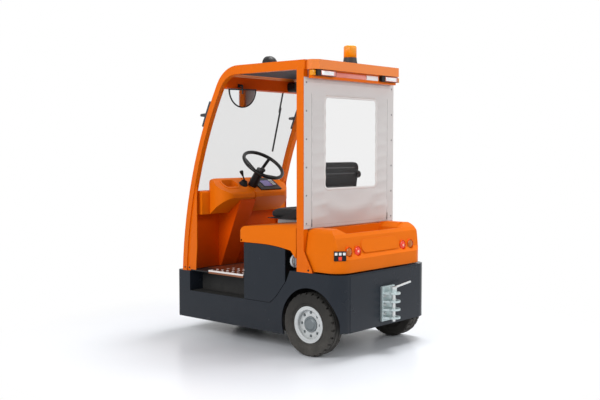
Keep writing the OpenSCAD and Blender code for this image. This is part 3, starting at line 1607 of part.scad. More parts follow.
// Tyre with rounded shoulders, two grooves round the tread and notched shoulders
module tyre(r, w, flange_r, half) {
  deep = r - flange_r;
  difference() {
    rotate_extrude($fn = 96) polygon(concat(
      [[bead_r, -half + rim_wall + gap], [flange_r, -half + rim_wall + gap],
        [flange_r + deep * 0.06, -half + gap]],
      arc([r - deep * 0.62, -w / 2 + sidewall_r], sidewall_r, 215, 270, 4),
      arc([r - sidewall_r * 0.7, -w / 2 + sidewall_r * 0.7], sidewall_r * 0.7, 270, 360, 6),
      arc([r - sidewall_r * 0.7, w / 2 - sidewall_r * 0.7], sidewall_r * 0.7, 0, 90, 6),
      arc([r - deep * 0.62, w / 2 - sidewall_r], sidewall_r, 90, 145, 4),
      [[flange_r + deep * 0.06, half - gap], [flange_r, half - rim_wall - gap],
        [bead_r, half - rim_wall - gap]]
    ));
    for (z = [-w / 7, w / 7]) translate([0, 0, z - groove_w / 2]) rotate_extrude($fn = 96)
      translate([r - groove_deep, 0]) square([groove_deep + over, groove_w]);
    for (i = [0:lug_count - 1], side = [-1, 1]) rotate([0, 0, 360 * (i + side / 4) / lug_count])
      translate([r - lug_deep, -lug_w / 2, side * (w / 2 - lug_len / 2) - lug_len / 2 - over * side])
      cube([lug_deep + over, lug_w, lug_len + over]);
  }
}

module hub() {
  difference() {
    union() {
      translate([0, 0, disc_z - hub_reach])
        cylinder(h = hub_reach + disc_t * 2, r = hub_bore_r - gap);
      translate([0, 0, disc_z - disc_t]) cylinder(h = disc_t, r = nut_ring_r + nut_r * 1.5);
      translate([0, 0, disc_z + disc_t * 2])
        cylinder(h = disc_t, r1 = hub_cap_r, r2 = hub_cap_r * 0.8);
      for (i = [0:nut_count - 1]) rotate([0, 0, 360 * i / nut_count])
        translate([nut_ring_r, 0, disc_z]) {
        translate([0, 0, -over]) cylinder(h = nut_h + over, r = nut_r, $fn = 6);
        cylinder(h = nut_h + bolt_tip, r = nut_r / 2, $fn = 24);
      }
    }
    translate([0, 0, disc_z - hub_reach - over])
      cylinder(h = hub_bore_x - wheel_mid_x - disc_z + hub_reach + over + gap, r = hub_stub_r + fit);
  }
}

module at_rear_wheel(side) {
  wheel_frame(side, wheel_mid_x, axle_y, tyre_r) children();
}

module rear_rim(side) {
  color("#cfd3d4") at_rear_wheel(side) rim(rim_r, rim_half, disc_z, hub_bore_r);
}

module rear_tyre(side) {
  color("#3b3733") at_rear_wheel(side) tyre(tyre_r, tyre_w, rim_r, rim_half);
}

module rear_hub(side) {
  color("#8c969b") at_rear_wheel(side) hub();
}

// Kingpin, turning ring, crown, two legs and the front axle pin
module steer_fork() {
  crown_z = 2 * front_tyre_r + fork_clear;
  leg_x = front_tyre_w / 2 + fork_clear;
  color("#4d5257") translate([0, front_axle_y, 0]) {
    translate([0, 0, cross_z - gap - ring_t]) cylinder(h = ring_t, r = ring_r);
    translate([0, 0, cross_z - gap - ring_t])
      cylinder(h = floor_top_z - plate_t - cross_z + ring_t, r = king_r);
    translate([-leg_x - fork_t, -fork_w / 2, crown_z])
      cube([2 * (leg_x + fork_t), fork_w, cross_z - gap - ring_t - crown_z]);
    both_sides() along_x(leg_x, leg_x + fork_t) {
      translate([-fork_w / 2, front_tyre_r]) square([fork_w, crown_z - front_tyre_r + over]);
      translate([0, front_tyre_r]) circle(fork_w / 2);
    }
    rod_x(-leg_x - fork_t, leg_x + fork_t, 0, front_tyre_r, front_pin_r);
  }
}

module front_rim() {
  half = front_tyre_w / 2 - fork_clear;
  color("#cfd3d4") wheel_frame(1, 0, front_axle_y, front_tyre_r) difference() {
    union() {
      rim(rim_r, half, -disc_t / 2, front_hub_r - over);
      cylinder(h = front_tyre_w + 2 * (fork_clear - seam), r = front_hub_r, center = true);
    }
    cylinder(h = front_tyre_w * 2, r = front_pin_r + fit, center = true);
  }
}

module front_tyre() {
  color("#3b3733") wheel_frame(1, 0, front_axle_y, front_tyre_r)
    tyre(front_tyre_r, front_tyre_w, rim_r, front_tyre_w / 2 - fork_clear);
}

chassis_shell();
rear_counterweight();
frame();
step_treads();
side_panels();
battery();
battery_disconnect();
deck_hood();
rear_cover();
front_pillars();
rear_pillars();
roof_shell();
roof_liner();
front_header();
rear_header();
windscreen();
rear_curtain();
curtain_window();
front_bulkhead();
dash_console();
column_cover();
instrument_display();
direction_lever();
lever_boot();
steering_wheel();
spinner_knob();
pedal(accelerator_x);  // accelerator_pedal
pedal(brake_x);  // brake_pedal
seat_base();
seat_pan();
seat_cushion();
backrest_shell();
backrest_cushion();
mirror_stalk();
cab_mirror();
wiper_motor();
wiper_arm();
pillar_lamps();
roof_lamp();
beacon_base();
beacon_lens();
work_lamps();
red_lamps();
amber_lamps();
switch_plate();
rear_button(-1, "#1b1d1f");  // rear_button_left
rear_button(0, "#c8302a");  // rear_button_middle
rear_button(1, "#1b1d1f");  // rear_button_right
coupling_body();
coupling_pin();
rear_axle();
rear_rim(1);  // rear_rim_left
rear_rim(-1);  // rear_rim_right
rear_tyre(1);  // rear_tyre_left
rear_tyre(-1);  // rear_tyre_right
rear_hub(1);  // rear_hub_left
rear_hub(-1);  // rear_hub_right
steer_fork();
front_rim();
front_tyre();
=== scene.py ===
import json
import math

import bmesh
import bpy
from mathutils import Matrix, Vector


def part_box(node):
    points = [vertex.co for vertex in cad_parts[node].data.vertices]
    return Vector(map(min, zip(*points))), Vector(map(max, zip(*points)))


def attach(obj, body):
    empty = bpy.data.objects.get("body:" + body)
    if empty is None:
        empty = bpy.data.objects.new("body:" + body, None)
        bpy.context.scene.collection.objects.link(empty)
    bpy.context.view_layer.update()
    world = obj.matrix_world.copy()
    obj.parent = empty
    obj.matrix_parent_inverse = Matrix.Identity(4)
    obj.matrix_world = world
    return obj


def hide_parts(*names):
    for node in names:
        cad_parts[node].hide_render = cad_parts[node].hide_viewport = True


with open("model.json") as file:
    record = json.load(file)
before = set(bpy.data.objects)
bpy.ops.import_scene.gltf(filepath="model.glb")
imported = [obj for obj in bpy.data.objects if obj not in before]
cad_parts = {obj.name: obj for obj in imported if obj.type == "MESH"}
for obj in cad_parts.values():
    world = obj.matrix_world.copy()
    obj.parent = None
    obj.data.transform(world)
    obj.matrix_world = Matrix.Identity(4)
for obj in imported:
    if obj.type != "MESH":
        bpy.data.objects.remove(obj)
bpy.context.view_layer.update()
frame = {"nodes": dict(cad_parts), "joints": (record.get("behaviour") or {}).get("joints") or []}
nodes = frame["nodes"]
joints = {joint["name"]: joint for joint in frame["joints"]}

# Values that several pieces share; lengths are in metres
MM = 0.001
VEHICLE = "vehicle"
SIDES = (-1, 1)
WHITE = (1, 1, 1, 1)


def corners(node):
    """The low and the high corner of a CAD node, rounded to a hundredth of a millimetre."""
    return [[round(value, 5) for value in corner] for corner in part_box(node)]


# Shared shader groups

# A Mix node's sockets for colours, whose names are shared with those for numbers and vectors
MIX_FIRST, MIX_SECOND, MIX_RESULT = 6, 7, 2
WEAR_SPAN = 0.08


def new_group(name, inputs, outputs):
    """An empty node group with its sockets, and its input and output nodes."""
    group = bpy.data.node_groups.new(name, "ShaderNodeTree")
    for title, kind, value in inputs:
        socket = group.interface.new_socket(name=title, in_out="INPUT", socket_type=kind)
        if value is not None:
            socket.default_value = value
    for title, kind in outputs:
        group.interface.new_socket(name=title, in_out="OUTPUT", socket_type=kind)
    return group, group.nodes.new("NodeGroupInput"), group.nodes.new("NodeGroupOutput")


def add(tree, kind, **values):
    """A node whose properties and input sockets are set by name."""
    node = tree.nodes.new(kind)
    for key, value in values.items():
        if hasattr(node, key):
            setattr(node, key, value)
        else:
            node.inputs[key.replace("_", " ")].default_value = value
    return node


def math_node(tree, operation, a, b=None):
    """A Math node fed by sockets or plain numbers."""
    node = tree.nodes.new("ShaderNodeMath")
    node.operation = operation
    for index, value in enumerate((a, b)):
        if value is None:
            continue
        if isinstance(value, (int, float)):
            node.inputs[index].default_value = value
        else:
            tree.links.new(value, node.inputs[index])
    return node.outputs[0]


def blend(group, share, source, second, result):
    """Puts out a group's colour, mixed with its second one by a share."""
    mix = add(group, "ShaderNodeMix", data_type="RGBA")
    group.links.new(share, mix.inputs["Factor"])
    group.links.new(source.outputs["Colour"], mix.inputs[MIX_FIRST])
    group.links.new(source.outputs[second], mix.inputs[MIX_SECOND])
    group.links.new(mix.outputs[MIX_RESULT], result.inputs["Colour"])


def mottle_group():
    """Slow drift between a colour and a second one over the surface."""
    group, source, result = new_group(
        "mottle",
        [("Colour", "NodeSocketColor", None), ("Second", "NodeSocketColor", None),
         ("Scale", "NodeSocketFloat", 6.0), ("Amount", "NodeSocketFloat", 0.5)],
        [("Colour", "NodeSocketColor")])
    place = group.nodes.new("ShaderNodeTexCoord")
    noise = add(group, "ShaderNodeTexNoise", Detail=5.0, Roughness=0.6)
    group.links.new(place.outputs["Object"], noise.inputs["Vector"])
    group.links.new(source.outputs["Scale"], noise.inputs["Scale"])
    share = math_node(group, "MULTIPLY", noise.outputs["Fac"], source.outputs["Amount"])
    blend(group, share, source, "Second", result)
    return group


def wear_group():
    """Rubbed edges, found from how sharply the surface bends, broken up by noise."""
    group, source, result = new_group(
        "edge_wear",
        [("Colour", "NodeSocketColor", None), ("Bare", "NodeSocketColor", None),
         ("Start", "NodeSocketFloat", 0.53), ("Amount", "NodeSocketFloat", 0.5)],
        [("Colour", "NodeSocketColor")])
    geometry = group.nodes.new("ShaderNodeNewGeometry")
    place = group.nodes.new("ShaderNodeTexCoord")
    noise = add(group, "ShaderNodeTexNoise", Scale=38.0, Detail=6.0)
    group.links.new(place.outputs["Object"], noise.inputs["Vector"])
    edge = group.nodes.new("ShaderNodeMapRange")
    group.links.new(geometry.outputs["Pointiness"], edge.inputs["Value"])
    group.links.new(source.outputs["Start"], edge.inputs["From Min"])
    top = math_node(group, "ADD", source.outputs["Start"], WEAR_SPAN)
    group.links.new(top, edge.inputs["From Max"])
    broken = math_node(group, "MULTIPLY", edge.outputs["Result"], noise.outputs["Fac"])
    share = math_node(group, "MULTIPLY", broken, source.outputs["Amount"])
    blend(group, share, source, "Bare", result)
    return group


def dust_group():
    """Pale dust that thins out with height, broken up by noise."""
    group, source, result = new_group(
        "dust",
        [("Colour", "NodeSocketColor", None), ("Dust", "NodeSocketColor", None),
         ("Height", "NodeSocketFloat", 0.35), ("Amount", "NodeSocketFloat", 0.3)],
        [("Colour", "NodeSocketColor")])
    place = group.nodes.new("ShaderNodeTexCoord")
    axes = group.nodes.new("ShaderNodeSeparateXYZ")
    group.links.new(place.outputs["Object"], axes.inputs[0])
    low = add(group, "ShaderNodeMapRange", To_Min=1.0, To_Max=0.0)
    group.links.new(axes.outputs["Z"], low.inputs["Value"])
    group.links.new(source.outputs["Height"], low.inputs["From Max"])
    noise = add(group, "ShaderNodeTexNoise", Scale=14.0, Detail=7.0, Roughness=0.7)
    group.links.new(place.outputs["Object"], noise.inputs["Vector"])
    spots = math_node(group, "MULTIPLY", low.outputs["Result"], noise.outputs["Fac"])
    share = math_node(group, "MULTIPLY", spots, source.outputs["Amount"])
    blend(group, share, source, "Dust", result)
    return group


def grain_group():
    """Fine moulded or painted grain as a height, and a roughness that follows it."""
    group, source, result = new_group(
        "grain",
        [("Scale", "NodeSocketFloat", 400.0), ("Roughness", "NodeSocketFloat", 0.4),
         ("Spread", "NodeSocketFloat", 0.1)],
        [("Height", "NodeSocketFloat"), ("Roughness", "NodeSocketFloat")])
    place = group.nodes.new("ShaderNodeTexCoord")
    fine = add(group, "ShaderNodeTexNoise", Detail=3.0)
    group.links.new(place.outputs["Object"], fine.inputs["Vector"])
    group.links.new(source.outputs["Scale"], fine.inputs["Scale"])
    broad = add(group, "ShaderNodeTexNoise", Scale=9.0, Detail=4.0)
    group.links.new(place.outputs["Object"], broad.inputs["Vector"])
    offset = math_node(group, "SUBTRACT", broad.outputs["Fac"], 0.5)
    share = math_node(group, "MULTIPLY", offset, source.outputs["Spread"])
    rough = math_node(group, "ADD", share, source.outputs["Roughness"])
    group.links.new(rough, result.inputs["Roughness"])
    group.links.new(fine.outputs["Fac"], result.inputs["Height"])
    return group


MOTTLE, WEAR, DUST, GRAIN = mottle_group(), wear_group(), dust_group(), grain_group()


# Materials

DRIFT = 0.7
DUST_COLOUR = (0.42, 0.39, 0.35)
BUMP_STRENGTH = 0.35


def place_group(tree, group, **values):
    """A shared group in a material, with its own values."""
    node = tree.nodes.new("ShaderNodeGroup")
    node.node_tree = group
    for key, value in values.items():
        node.inputs[key].default_value = value
    return node


def rgba(colour):
    """A colour with full alpha."""
    return (*colour, 1.0)


def shade(colour, factor):
    """A darker or lighter colour."""
    return tuple(min(channel * factor, 1.0) for channel in colour)


def finish(name, colour, second=None, rough=0.4, spread=0.1, metal=0.0, grain=400.0, depth=0.02,
           wear=0.0, bare=None, dust=0.0, dust_height=0.5, mottle=6.0, **shader):
    """A material of mottled colour with worn edges, dust near the ground, and a grain of some depth in mm."""
    material = bpy.data.materials.new(name)
    material.use_nodes = True
    tree = material.node_tree
    principled = tree.nodes["Principled BSDF"]
    principled.inputs["Metallic"].default_value = metal
    for key, value in shader.items():
        principled.inputs[key.replace("_", " ")].default_value = value
    drift = place_group(tree, MOTTLE, Colour=rgba(colour), Second=rgba(second or shade(colour, 0.82)),
                        Scale=mottle, Amount=DRIFT)
    last = drift.outputs["Colour"]
    if wear:
        rubbed = place_group(tree, WEAR, Bare=rgba(bare or shade(colour, 1.6)), Amount=wear)
        tree.links.new(last, rubbed.inputs["Colour"])
        last = rubbed.outputs["Colour"]
    if dust:
        dusty = place_group(tree, DUST, Dust=rgba(DUST_COLOUR), Height=dust_height, Amount=dust)
        tree.links.new(last, dusty.inputs["Colour"])
        last = dusty.outputs["Colour"]
    tree.links.new(last, principled.inputs["Base Color"])
    texture = place_group(tree, GRAIN, Scale=grain, Roughness=rough, Spread=spread)
    tree.links.new(texture.outputs["Roughness"], principled.inputs["Roughness"])
    bump = add(tree, "ShaderNodeBump", Strength=BUMP_STRENGTH, Distance=depth * MM)
    tree.links.new(texture.outputs["Height"], bump.inputs["Height"])
    tree.links.new(bump.outputs["Normal"], principled.inputs["Normal"])
    return material


ORANGE = (0.74, 0.150, 0.0020)
ANTHRACITE = (0.012, 0.016, 0.023)
BLACK = (0.008, 0.008, 0.009)
CURTAIN = (0.590, 0.556, 0.540)

cover_orange = finish("cover_orange", ORANGE, shade(ORANGE, 0.9), rough=0.40, grain=520, depth=0.05,
                      wear=0.10, dust=0.05, Specular_IOR_Level=0.08)
frame_orange = finish("frame_orange", (0.74, 0.135, 0.0010), rough=0.28, spread=0.06, grain=260, depth=0.03,
                      wear=0.12, Specular_IOR_Level=0.10, Coat_Weight=0.06, Coat_Roughness=0.08)
# Roof paint: its lighter second colour, mottled in broad patches, is a painted reflection of glare on the
# roof's faces
roof_orange_glare = finish("roof_orange_glare", (0.76, 0.180, 0.020), (0.80, 0.240, 0.050), rough=0.22, spread=0.06,
                     grain=260, depth=0.03, mottle=2.2, Specular_IOR_Level=0.25, Coat_Weight=0.3,
                     Coat_Roughness=0.05)
# A deeper red copy of the cover's orange, whose hue is painted shade, for the cab's inner faces and the lamp
# collars
inner_orange_shaded = finish("inner_orange_shaded", (0.80, 0.092, 0.001), rough=0.45, grain=520, depth=0.05, dust=0.06,
                      dust_height=0.6, Specular_IOR_Level=0.06)
body_anthracite = finish("body_anthracite", ANTHRACITE, (0.017, 0.022, 0.030), rough=0.26, spread=0.08,
                         grain=300, depth=0.02, wear=0.02, bare=(0.05, 0.055, 0.06), dust=0.04,
                         dust_height=0.4, Specular_IOR_Level=0.18)
under_black = finish("under_black", (0.014, 0.015, 0.016), rough=0.55, grain=260, depth=0.06, dust=0.25,
                     Specular_IOR_Level=0.2)
black_plastic = finish("black_plastic", BLACK, (0.013, 0.013, 0.014), rough=0.42, grain=700, depth=0.04,
                       wear=0.2, Specular_IOR_Level=0.22)
wheel_black = finish("wheel_black", (0.008, 0.008, 0.008), rough=0.34, spread=0.16, grain=900, depth=0.03,
                     Specular_IOR_Level=0.25)
grey_plastic = finish("grey_plastic", (0.045, 0.048, 0.052), rough=0.5, grain=600, depth=0.05,
                      Specular_IOR_Level=0.2)
rib_grey = finish("rib_grey", (0.10, 0.10, 0.105), rough=0.35, grain=600, depth=0.04, Specular_IOR_Level=0.3)
liner_grey = finish("liner_grey", (0.075, 0.077, 0.085), rough=0.6, grain=900, depth=0.06)
light_plastic = finish("light_plastic", (0.50, 0.52, 0.54), rough=0.38, grain=500, depth=0.03, wear=0.1)
# Step tread plates: their orange-brown colour is a painted reflection of the orange cab walls
tread_orange_reflection = finish("tread_orange_reflection", (0.26, 0.085, 0.030), (0.18, 0.060, 0.025), rough=0.34, spread=0.25,
                     metal=0.3, grain=180, depth=0.03)
# Light metal for the tread studs and edges: partly bare metal, partly a painted highlight of the lit outer
# band
tread_metal = finish("tread_metal", (0.80, 0.76, 0.74), (0.66, 0.62, 0.60), rough=0.30, spread=0.2, metal=0.4,
                     grain=180, depth=0.03)
galvanised = finish("galvanised", (0.42, 0.50, 0.51), (0.62, 0.70, 0.70), rough=0.40, spread=0.25, metal=0.55,
                    grain=90, depth=0.02, mottle=34, wear=0.2, dust=0.1)
pin_steel = finish("pin_steel", (0.70, 0.72, 0.72), (0.58, 0.60, 0.60), rough=0.28, spread=0.2, metal=0.75,
                   grain=300, depth=0.02)
seat_steel = finish("seat_steel", (0.42, 0.43, 0.44), rough=0.36, metal=0.6, grain=300, depth=0.02)
rim_silver = finish("rim_silver", (0.56, 0.585, 0.59), (0.44, 0.46, 0.46), rough=0.36, metal=0.25, grain=300,
                    depth=0.03, wear=0.2, dust=0.25, dust_height=0.4)
hub_grey = finish("hub_grey", (0.17, 0.20, 0.215), (0.12, 0.14, 0.15), rough=0.42, metal=0.4, grain=160,
                  depth=0.06, wear=0.5, bare=(0.4, 0.42, 0.43), dust=0.2)
tyre_rubber = finish("tyre_rubber", (0.015, 0.015, 0.014), (0.032, 0.030, 0.028), rough=0.78, grain=300,
                     depth=0.12, mottle=16, dust=0.26, dust_height=0.42, wear=0.6, bare=(0.09, 0.085, 0.08),
                     Specular_IOR_Level=0.15)
pedal_rubber = finish("pedal_rubber", (0.014, 0.014, 0.014), rough=0.7, grain=300, depth=0.08, wear=0.5,
                      Specular_IOR_Level=0.2)
battery_case = finish("battery_case", (0.016, 0.018, 0.020), rough=0.5, grain=300, depth=0.05, dust=0.3)
curtain_cloth = finish("curtain_cloth", CURTAIN, shade(CURTAIN, 0.88), rough=0.52, grain=900, depth=0.05,
                       Sheen_Weight=0.15)
welt_cloth = finish("welt_cloth", (0.70, 0.66, 0.64), rough=0.5, grain=900, depth=0.04)
seam_thread = finish("seam_thread", (0.20, 0.19, 0.19), rough=0.7, grain=900, depth=0.05)
seat_cloth = finish("seat_cloth", (0.010, 0.010, 0.011), (0.018, 0.018, 0.020), rough=0.62, grain=1200,
                    depth=0.1, Sheen_Weight=0.08, Specular_IOR_Level=0.2)
# Floor mat: its orange-brown colour is a painted reflection of the orange cab walls
mat_orange_reflection = finish("mat_orange_reflection", (0.17, 0.040, 0.014), (0.12, 0.030, 0.012), rough=0.45,
                    grain=400, depth=0.08)
amber = finish("amber", (0.80, 0.32, 0.002), (0.72, 0.22, 0.002), rough=0.14, grain=120, depth=0.05,
               Specular_IOR_Level=0.2, Coat_Weight=0.3)
amber_dark = finish("amber_dark", (0.50, 0.13, 0.003), (0.36, 0.085, 0.003), rough=0.16, grain=240, depth=0.2,
                    mottle=60, Specular_IOR_Level=0.2, Coat_Weight=0.3)
red = finish("red", (0.80, 0.030, 0.008), (0.88, 0.075, 0.030), rough=0.14, grain=240, depth=0.2, mottle=40,
             Specular_IOR_Level=0.2, Coat_Weight=0.3)
lamp_heart = finish("lamp_heart", (0.95, 0.56, 0.42), (0.92, 0.36, 0.24), rough=0.2, grain=240, mottle=60)
marker_red = finish("marker_red", (0.60, 0.12, 0.08), (0.80, 0.32, 0.25), rough=0.12, spread=0.1, grain=90,
                    depth=0.03, mottle=9, Coat_Weight=0.5)
# White for the switch tiles, and for the roof strip's patch, where it is a painted reflection of glare
white_tile_and_glare = finish("white_tile_and_glare", (0.80, 0.80, 0.80), rough=0.4)
screen = finish("screen", (0.10, 0.07, 0.28), (0.30, 0.22, 0.55), rough=0.12, mottle=70)
mirror_silver = finish("mirror_silver", (0.80, 0.82, 0.83), (0.76, 0.78, 0.79), rough=0.04, spread=0.02,
                       metal=1.0, grain=60, depth=0.0)
lamp_bright = finish("lamp_bright", (0.78, 0.80, 0.84), (0.92, 0.93, 0.95), rough=0.16, metal=0.35, grain=300,
                     depth=0.02, Coat_Weight=0.8)


def clear_sheet(name, colour, rough, alpha):
    """A thin clear sheet whose colour is mostly what lies behind it."""
    material = bpy.data.materials.new(name)
    material.use_nodes = True
    tree = material.node_tree
    principled = tree.nodes["Principled BSDF"]
    for key, value in (("Metallic", 0.0), ("IOR", 1.45), ("Specular IOR Level", 0.2), ("Alpha", alpha)):
        principled.inputs[key].default_value = value
    drift = place_group(tree, MOTTLE, Colour=rgba(colour), Second=rgba(shade(colour, 0.95)), Scale=4.0,
                        Amount=0.5)
    tree.links.new(drift.outputs["Colour"], principled.inputs["Base Color"])
    texture = place_group(tree, GRAIN, Scale=30.0, Roughness=rough, Spread=0.05)
    tree.links.new(texture.outputs["Roughness"], principled.inputs["Roughness"])
    return material


screen_glass = clear_sheet("screen_glass", (0.16, 0.17, 0.17), 0.04, 0.14)
window_film = clear_sheet("window_film", (0.12, 0.12, 0.12), 0.16, 0.15)


def dress(material, *names):
    """Puts a material on CAD nodes."""
    for name in names:
        mesh = nodes[name].data
        for index in range(max(len(mesh.materials), 1)):
            if index < len(mesh.materials):
                mesh.materials[index] = material
            else:
                mesh.materials.append(material)


dress(cover_orange, "deck_hood", "rear_cover", "dash_console")
dress(frame_orange, "front_pillars", "rear_pillars", "rear_header")
dress(roof_orange_glare, "roof_shell")
dress(inner_orange_shaded, "front_bulkhead", "column_cover", "front_header")
dress(body_anthracite, "chassis_shell", "rear_counterweight", "side_panels")
dress(under_black, "frame", "steer_fork", "rear_axle")
dress(black_plastic, "instrument_display", "direction_lever", "lever_boot", "backrest_shell", "mirror_stalk",
      "wiper_motor", "wiper_arm", "roof_lamp", "work_lamps", "switch_plate", "rear_button_left",
      "rear_button_right", "seat_pan")
dress(wheel_black, "steering_wheel", "spinner_knob")
dress(grey_plastic, "pillar_lamps", "beacon_base", "cab_mirror")
dress(liner_grey, "roof_liner")
dress(light_plastic, "battery_disconnect")
dress(tread_orange_reflection, "step_treads")
dress(galvanised, "coupling_body")
dress(pin_steel, "coupling_pin")
dress(seat_steel, "seat_base")
dress(rim_silver, "rear_rim_left", "rear_rim_right", "front_rim")
dress(hub_grey, "rear_hub_left", "rear_hub_right")
dress(tyre_rubber, "rear_tyre_left", "rear_tyre_right", "front_tyre")
dress(pedal_rubber, "accelerator_pedal", "brake_pedal")
dress(battery_case, "battery")
dress(amber, "beacon_lens")
dress(amber_dark, "amber_lamps")
dress(red, "red_lamps", "rear_button_middle")
dress(screen_glass, "windscreen")
dress(window_film, "curtain_window")
dress(curtain_cloth, "rear_curtain")
dress(seat_cloth, "seat_cushion", "backrest_cushion")


# Helpers for new pieces

def piece(name, mesh_data, material, body=VEHICLE, smooth=True):
    """Turns a bmesh into an object that rides on a body."""
    mesh = bpy.data.meshes.new(name)
    mesh_data.to_mesh(mesh)
    mesh_data.free()
    for polygon in mesh.polygons:
        polygon.use_smooth = smooth
    made = bpy.data.objects.new(name, mesh)
    bpy.context.scene.collection.objects.link(made)
    made.data.materials.append(material)
    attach(made, body)
    return made


def add_box(mesh_data, low, high, bevel=0.0, segments=2):
    """A box between two corners with rounded edges; returns its vertices."""
    low, high = Vector(low), Vector(high)
    cube = bmesh.ops.create_cube(mesh_data, size=1.0)["verts"]
    bmesh.ops.scale(mesh_data, vec=high - low, verts=cube)
    if bevel:
        edges = {edge for vert in cube for edge in vert.link_edges}
        made = bmesh.ops.bevel(mesh_data, geom=list(edges), offset=bevel, segments=segments,
                               profile=0.5, affect="EDGES", material=-1)
        rounded = {vert for face in made["faces"] for vert in face.verts}
        cube = list(rounded | {vert for vert in cube if vert.is_valid})
    bmesh.ops.translate(mesh_data, vec=(low + high) / 2, verts=cube)
    return cube


def add_turned_box(mesh_data, place, low, high, bevel):
    """A rounded box between two corners that are given in a turned frame."""
    bmesh.ops.transform(mesh_data, matrix=place, verts=add_box(mesh_data, low, high, bevel))


def add_rod(mesh_data, start, end, radius, tip=None, segments=24):
    """A cylinder or cone from one point to another."""
    start, end = Vector(start), Vector(end)
    along = end - start
    turn = along.to_track_quat("Z", "Y").to_matrix().to_4x4()
    place = Matrix.Translation((start + end) / 2) @ turn
    bmesh.ops.create_cone(mesh_data, cap_ends=True, segments=segments, radius1=radius,
                          radius2=radius if tip is None else tip, depth=along.length, matrix=place)


def add_ring(mesh_data, centre, axis, radius, thick, segments=48, sides=12):
    """A round bar bent into a ring."""
    centre, axis = Vector(centre), Vector(axis).normalized()
    turn = axis.to_track_quat("Z", "Y").to_matrix().to_4x4()
    stand = Matrix.Translation((radius, 0, 0)) @ Matrix.Rotation(math.pi / 2, 4, "X")
    section = bmesh.ops.create_circle(mesh_data, segments=sides, radius=thick,
                                      matrix=Matrix.Translation(centre) @ turn @ stand)
    edges = list({edge for vert in section["verts"] for edge in vert.link_edges})
    bmesh.ops.spin(mesh_data, geom=edges, cent=centre, axis=axis, angle=2 * math.pi,
                   steps=segments, use_merge=True)
    bmesh.ops.recalc_face_normals(mesh_data, faces=mesh_data.faces)


def revolve(mesh_data, outline, centre, axis=(0, 0, 1), steps=48):
    """Spins an outline of (radius, height) round an axis."""
    centre, axis = Vector(centre), Vector(axis).normalized()
    turn = Matrix.Translation(centre) @ axis.to_track_quat("Z", "Y").to_matrix().to_4x4()
    line = [mesh_data.verts.new(turn @ Vector((radius, 0, height))) for radius, height in outline]
    edges = [mesh_data.edges.new(pair) for pair in zip(line, line[1:])]
    bmesh.ops.spin(mesh_data, geom=line + edges, cent=centre, axis=axis, angle=2 * math.pi,
                   steps=steps, use_merge=True)
    bmesh.ops.remove_doubles(mesh_data, verts=mesh_data.verts, dist=0.01 * MM)
    bmesh.ops.recalc_face_normals(mesh_data, faces=mesh_data.faces)


def thicken(made, thick):
    """Gives a sheet its thickness, half of it on each side."""
    solid = made.modifiers.new("thick", "SOLIDIFY")
    solid.thickness = thick
    solid.offset = 0.0
    solid.use_even_offset = False


def apply_modifiers(made):
    """Puts what the modifiers make into the mesh."""
    graph = bpy.context.evaluated_depsgraph_get()
    mesh = bpy.data.meshes.new_from_object(made.evaluated_get(graph))
    mesh.name = made.name
    made.modifiers.clear()
    made.data = mesh


def tube_piece(name, points, radius, material, body):
    """A round bar that follows points round a loop, as a curve turned into a mesh."""
    path = bpy.data.curves.new(name, "CURVE")
    path.dimensions = "3D"
    path.bevel_depth = radius
    path.bevel_resolution = 4
    spline = path.splines.new("POLY")
    spline.points.add(len(points) - 1)
    for spline_point, point in zip(spline.points, points):
        spline_point.co = (*point, 1.0)
    spline.use_cyclic_u = True
    shown = bpy.data.objects.new(name + "_path", path)
    mesh = bpy.data.meshes.new_from_object(shown)
    bpy.data.objects.remove(shown)
    mesh.name = name
    made = bpy.data.objects.new(name, mesh)
    bpy.context.scene.collection.objects.link(made)
    for polygon in mesh.polygons:
        polygon.use_smooth = True
    mesh.materials.clear()
    mesh.materials.append(material)
    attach(made, body)
    return made


# Rear curtain: a coated sheet held all round, with a clear window sewn into it

curtain_low, curtain_high = corners("rear_curtain")
PILLAR_REST, CURTAIN_BACK = 3.5 * MM, 1.7 * MM
CURTAIN_HALF = corners("rear_pillars")[1][0] - PILLAR_REST
CURTAIN_Z = (curtain_low[2], curtain_high[2])
CURTAIN_Y = curtain_low[1] + CURTAIN_BACK
CURTAIN_PITCH, FILM_PITCH = 0.0065, 0.02
WINDOW_HALF = 0.279
WINDOW_Z = (1.071, 1.674)
WINDOW_ROUND = 0.030
WINDOW_LAP = 6 * MM
ZIP_X = 0.412
SHEET_THICK = 0.8 * MM

# Soft folds of the curtain, whose rates are in radians per metre: cross folds beside the window,
# and broad ones under it that swing round a point
CROSS_DEEP, CROSS_RATE, CROSS_WAVER, CROSS_SWAY, CROSS_LEAN = 6.5 * MM, 74.0, 2.2, 5.0, 9.0
CROSS_START, CROSS_BUILD, CROSS_SHARP = 0.05, 0.07, 1.6
SWING_DEEP, SWING_RATE, SWING_X, SWING_Z, SWING_LEAN = 11.0 * MM, 30.0, 0.05, 1.16, 2.5
FADE_LOW, FADE_HIGH, FADE_SIDE, SWING_GAP, SWING_BUILD = 9.0, 6.0, 0.35, 0.01, 9.0


def clamped(share):
    """A share kept between 0 and 1."""
    return max(0.0, min(1.0, share))


def inside_round(x, z, half, low, high, radius):
    """Whether a point lies within a rounded rectangle, whose middle is on X 0."""
    dx = max(abs(x) - (half - radius), 0.0)
    dz = max(low + radius - z, z - (high - radius), 0.0)
    return math.hypot(dx, dz) <= radius and abs(x) <= half and low <= z <= high


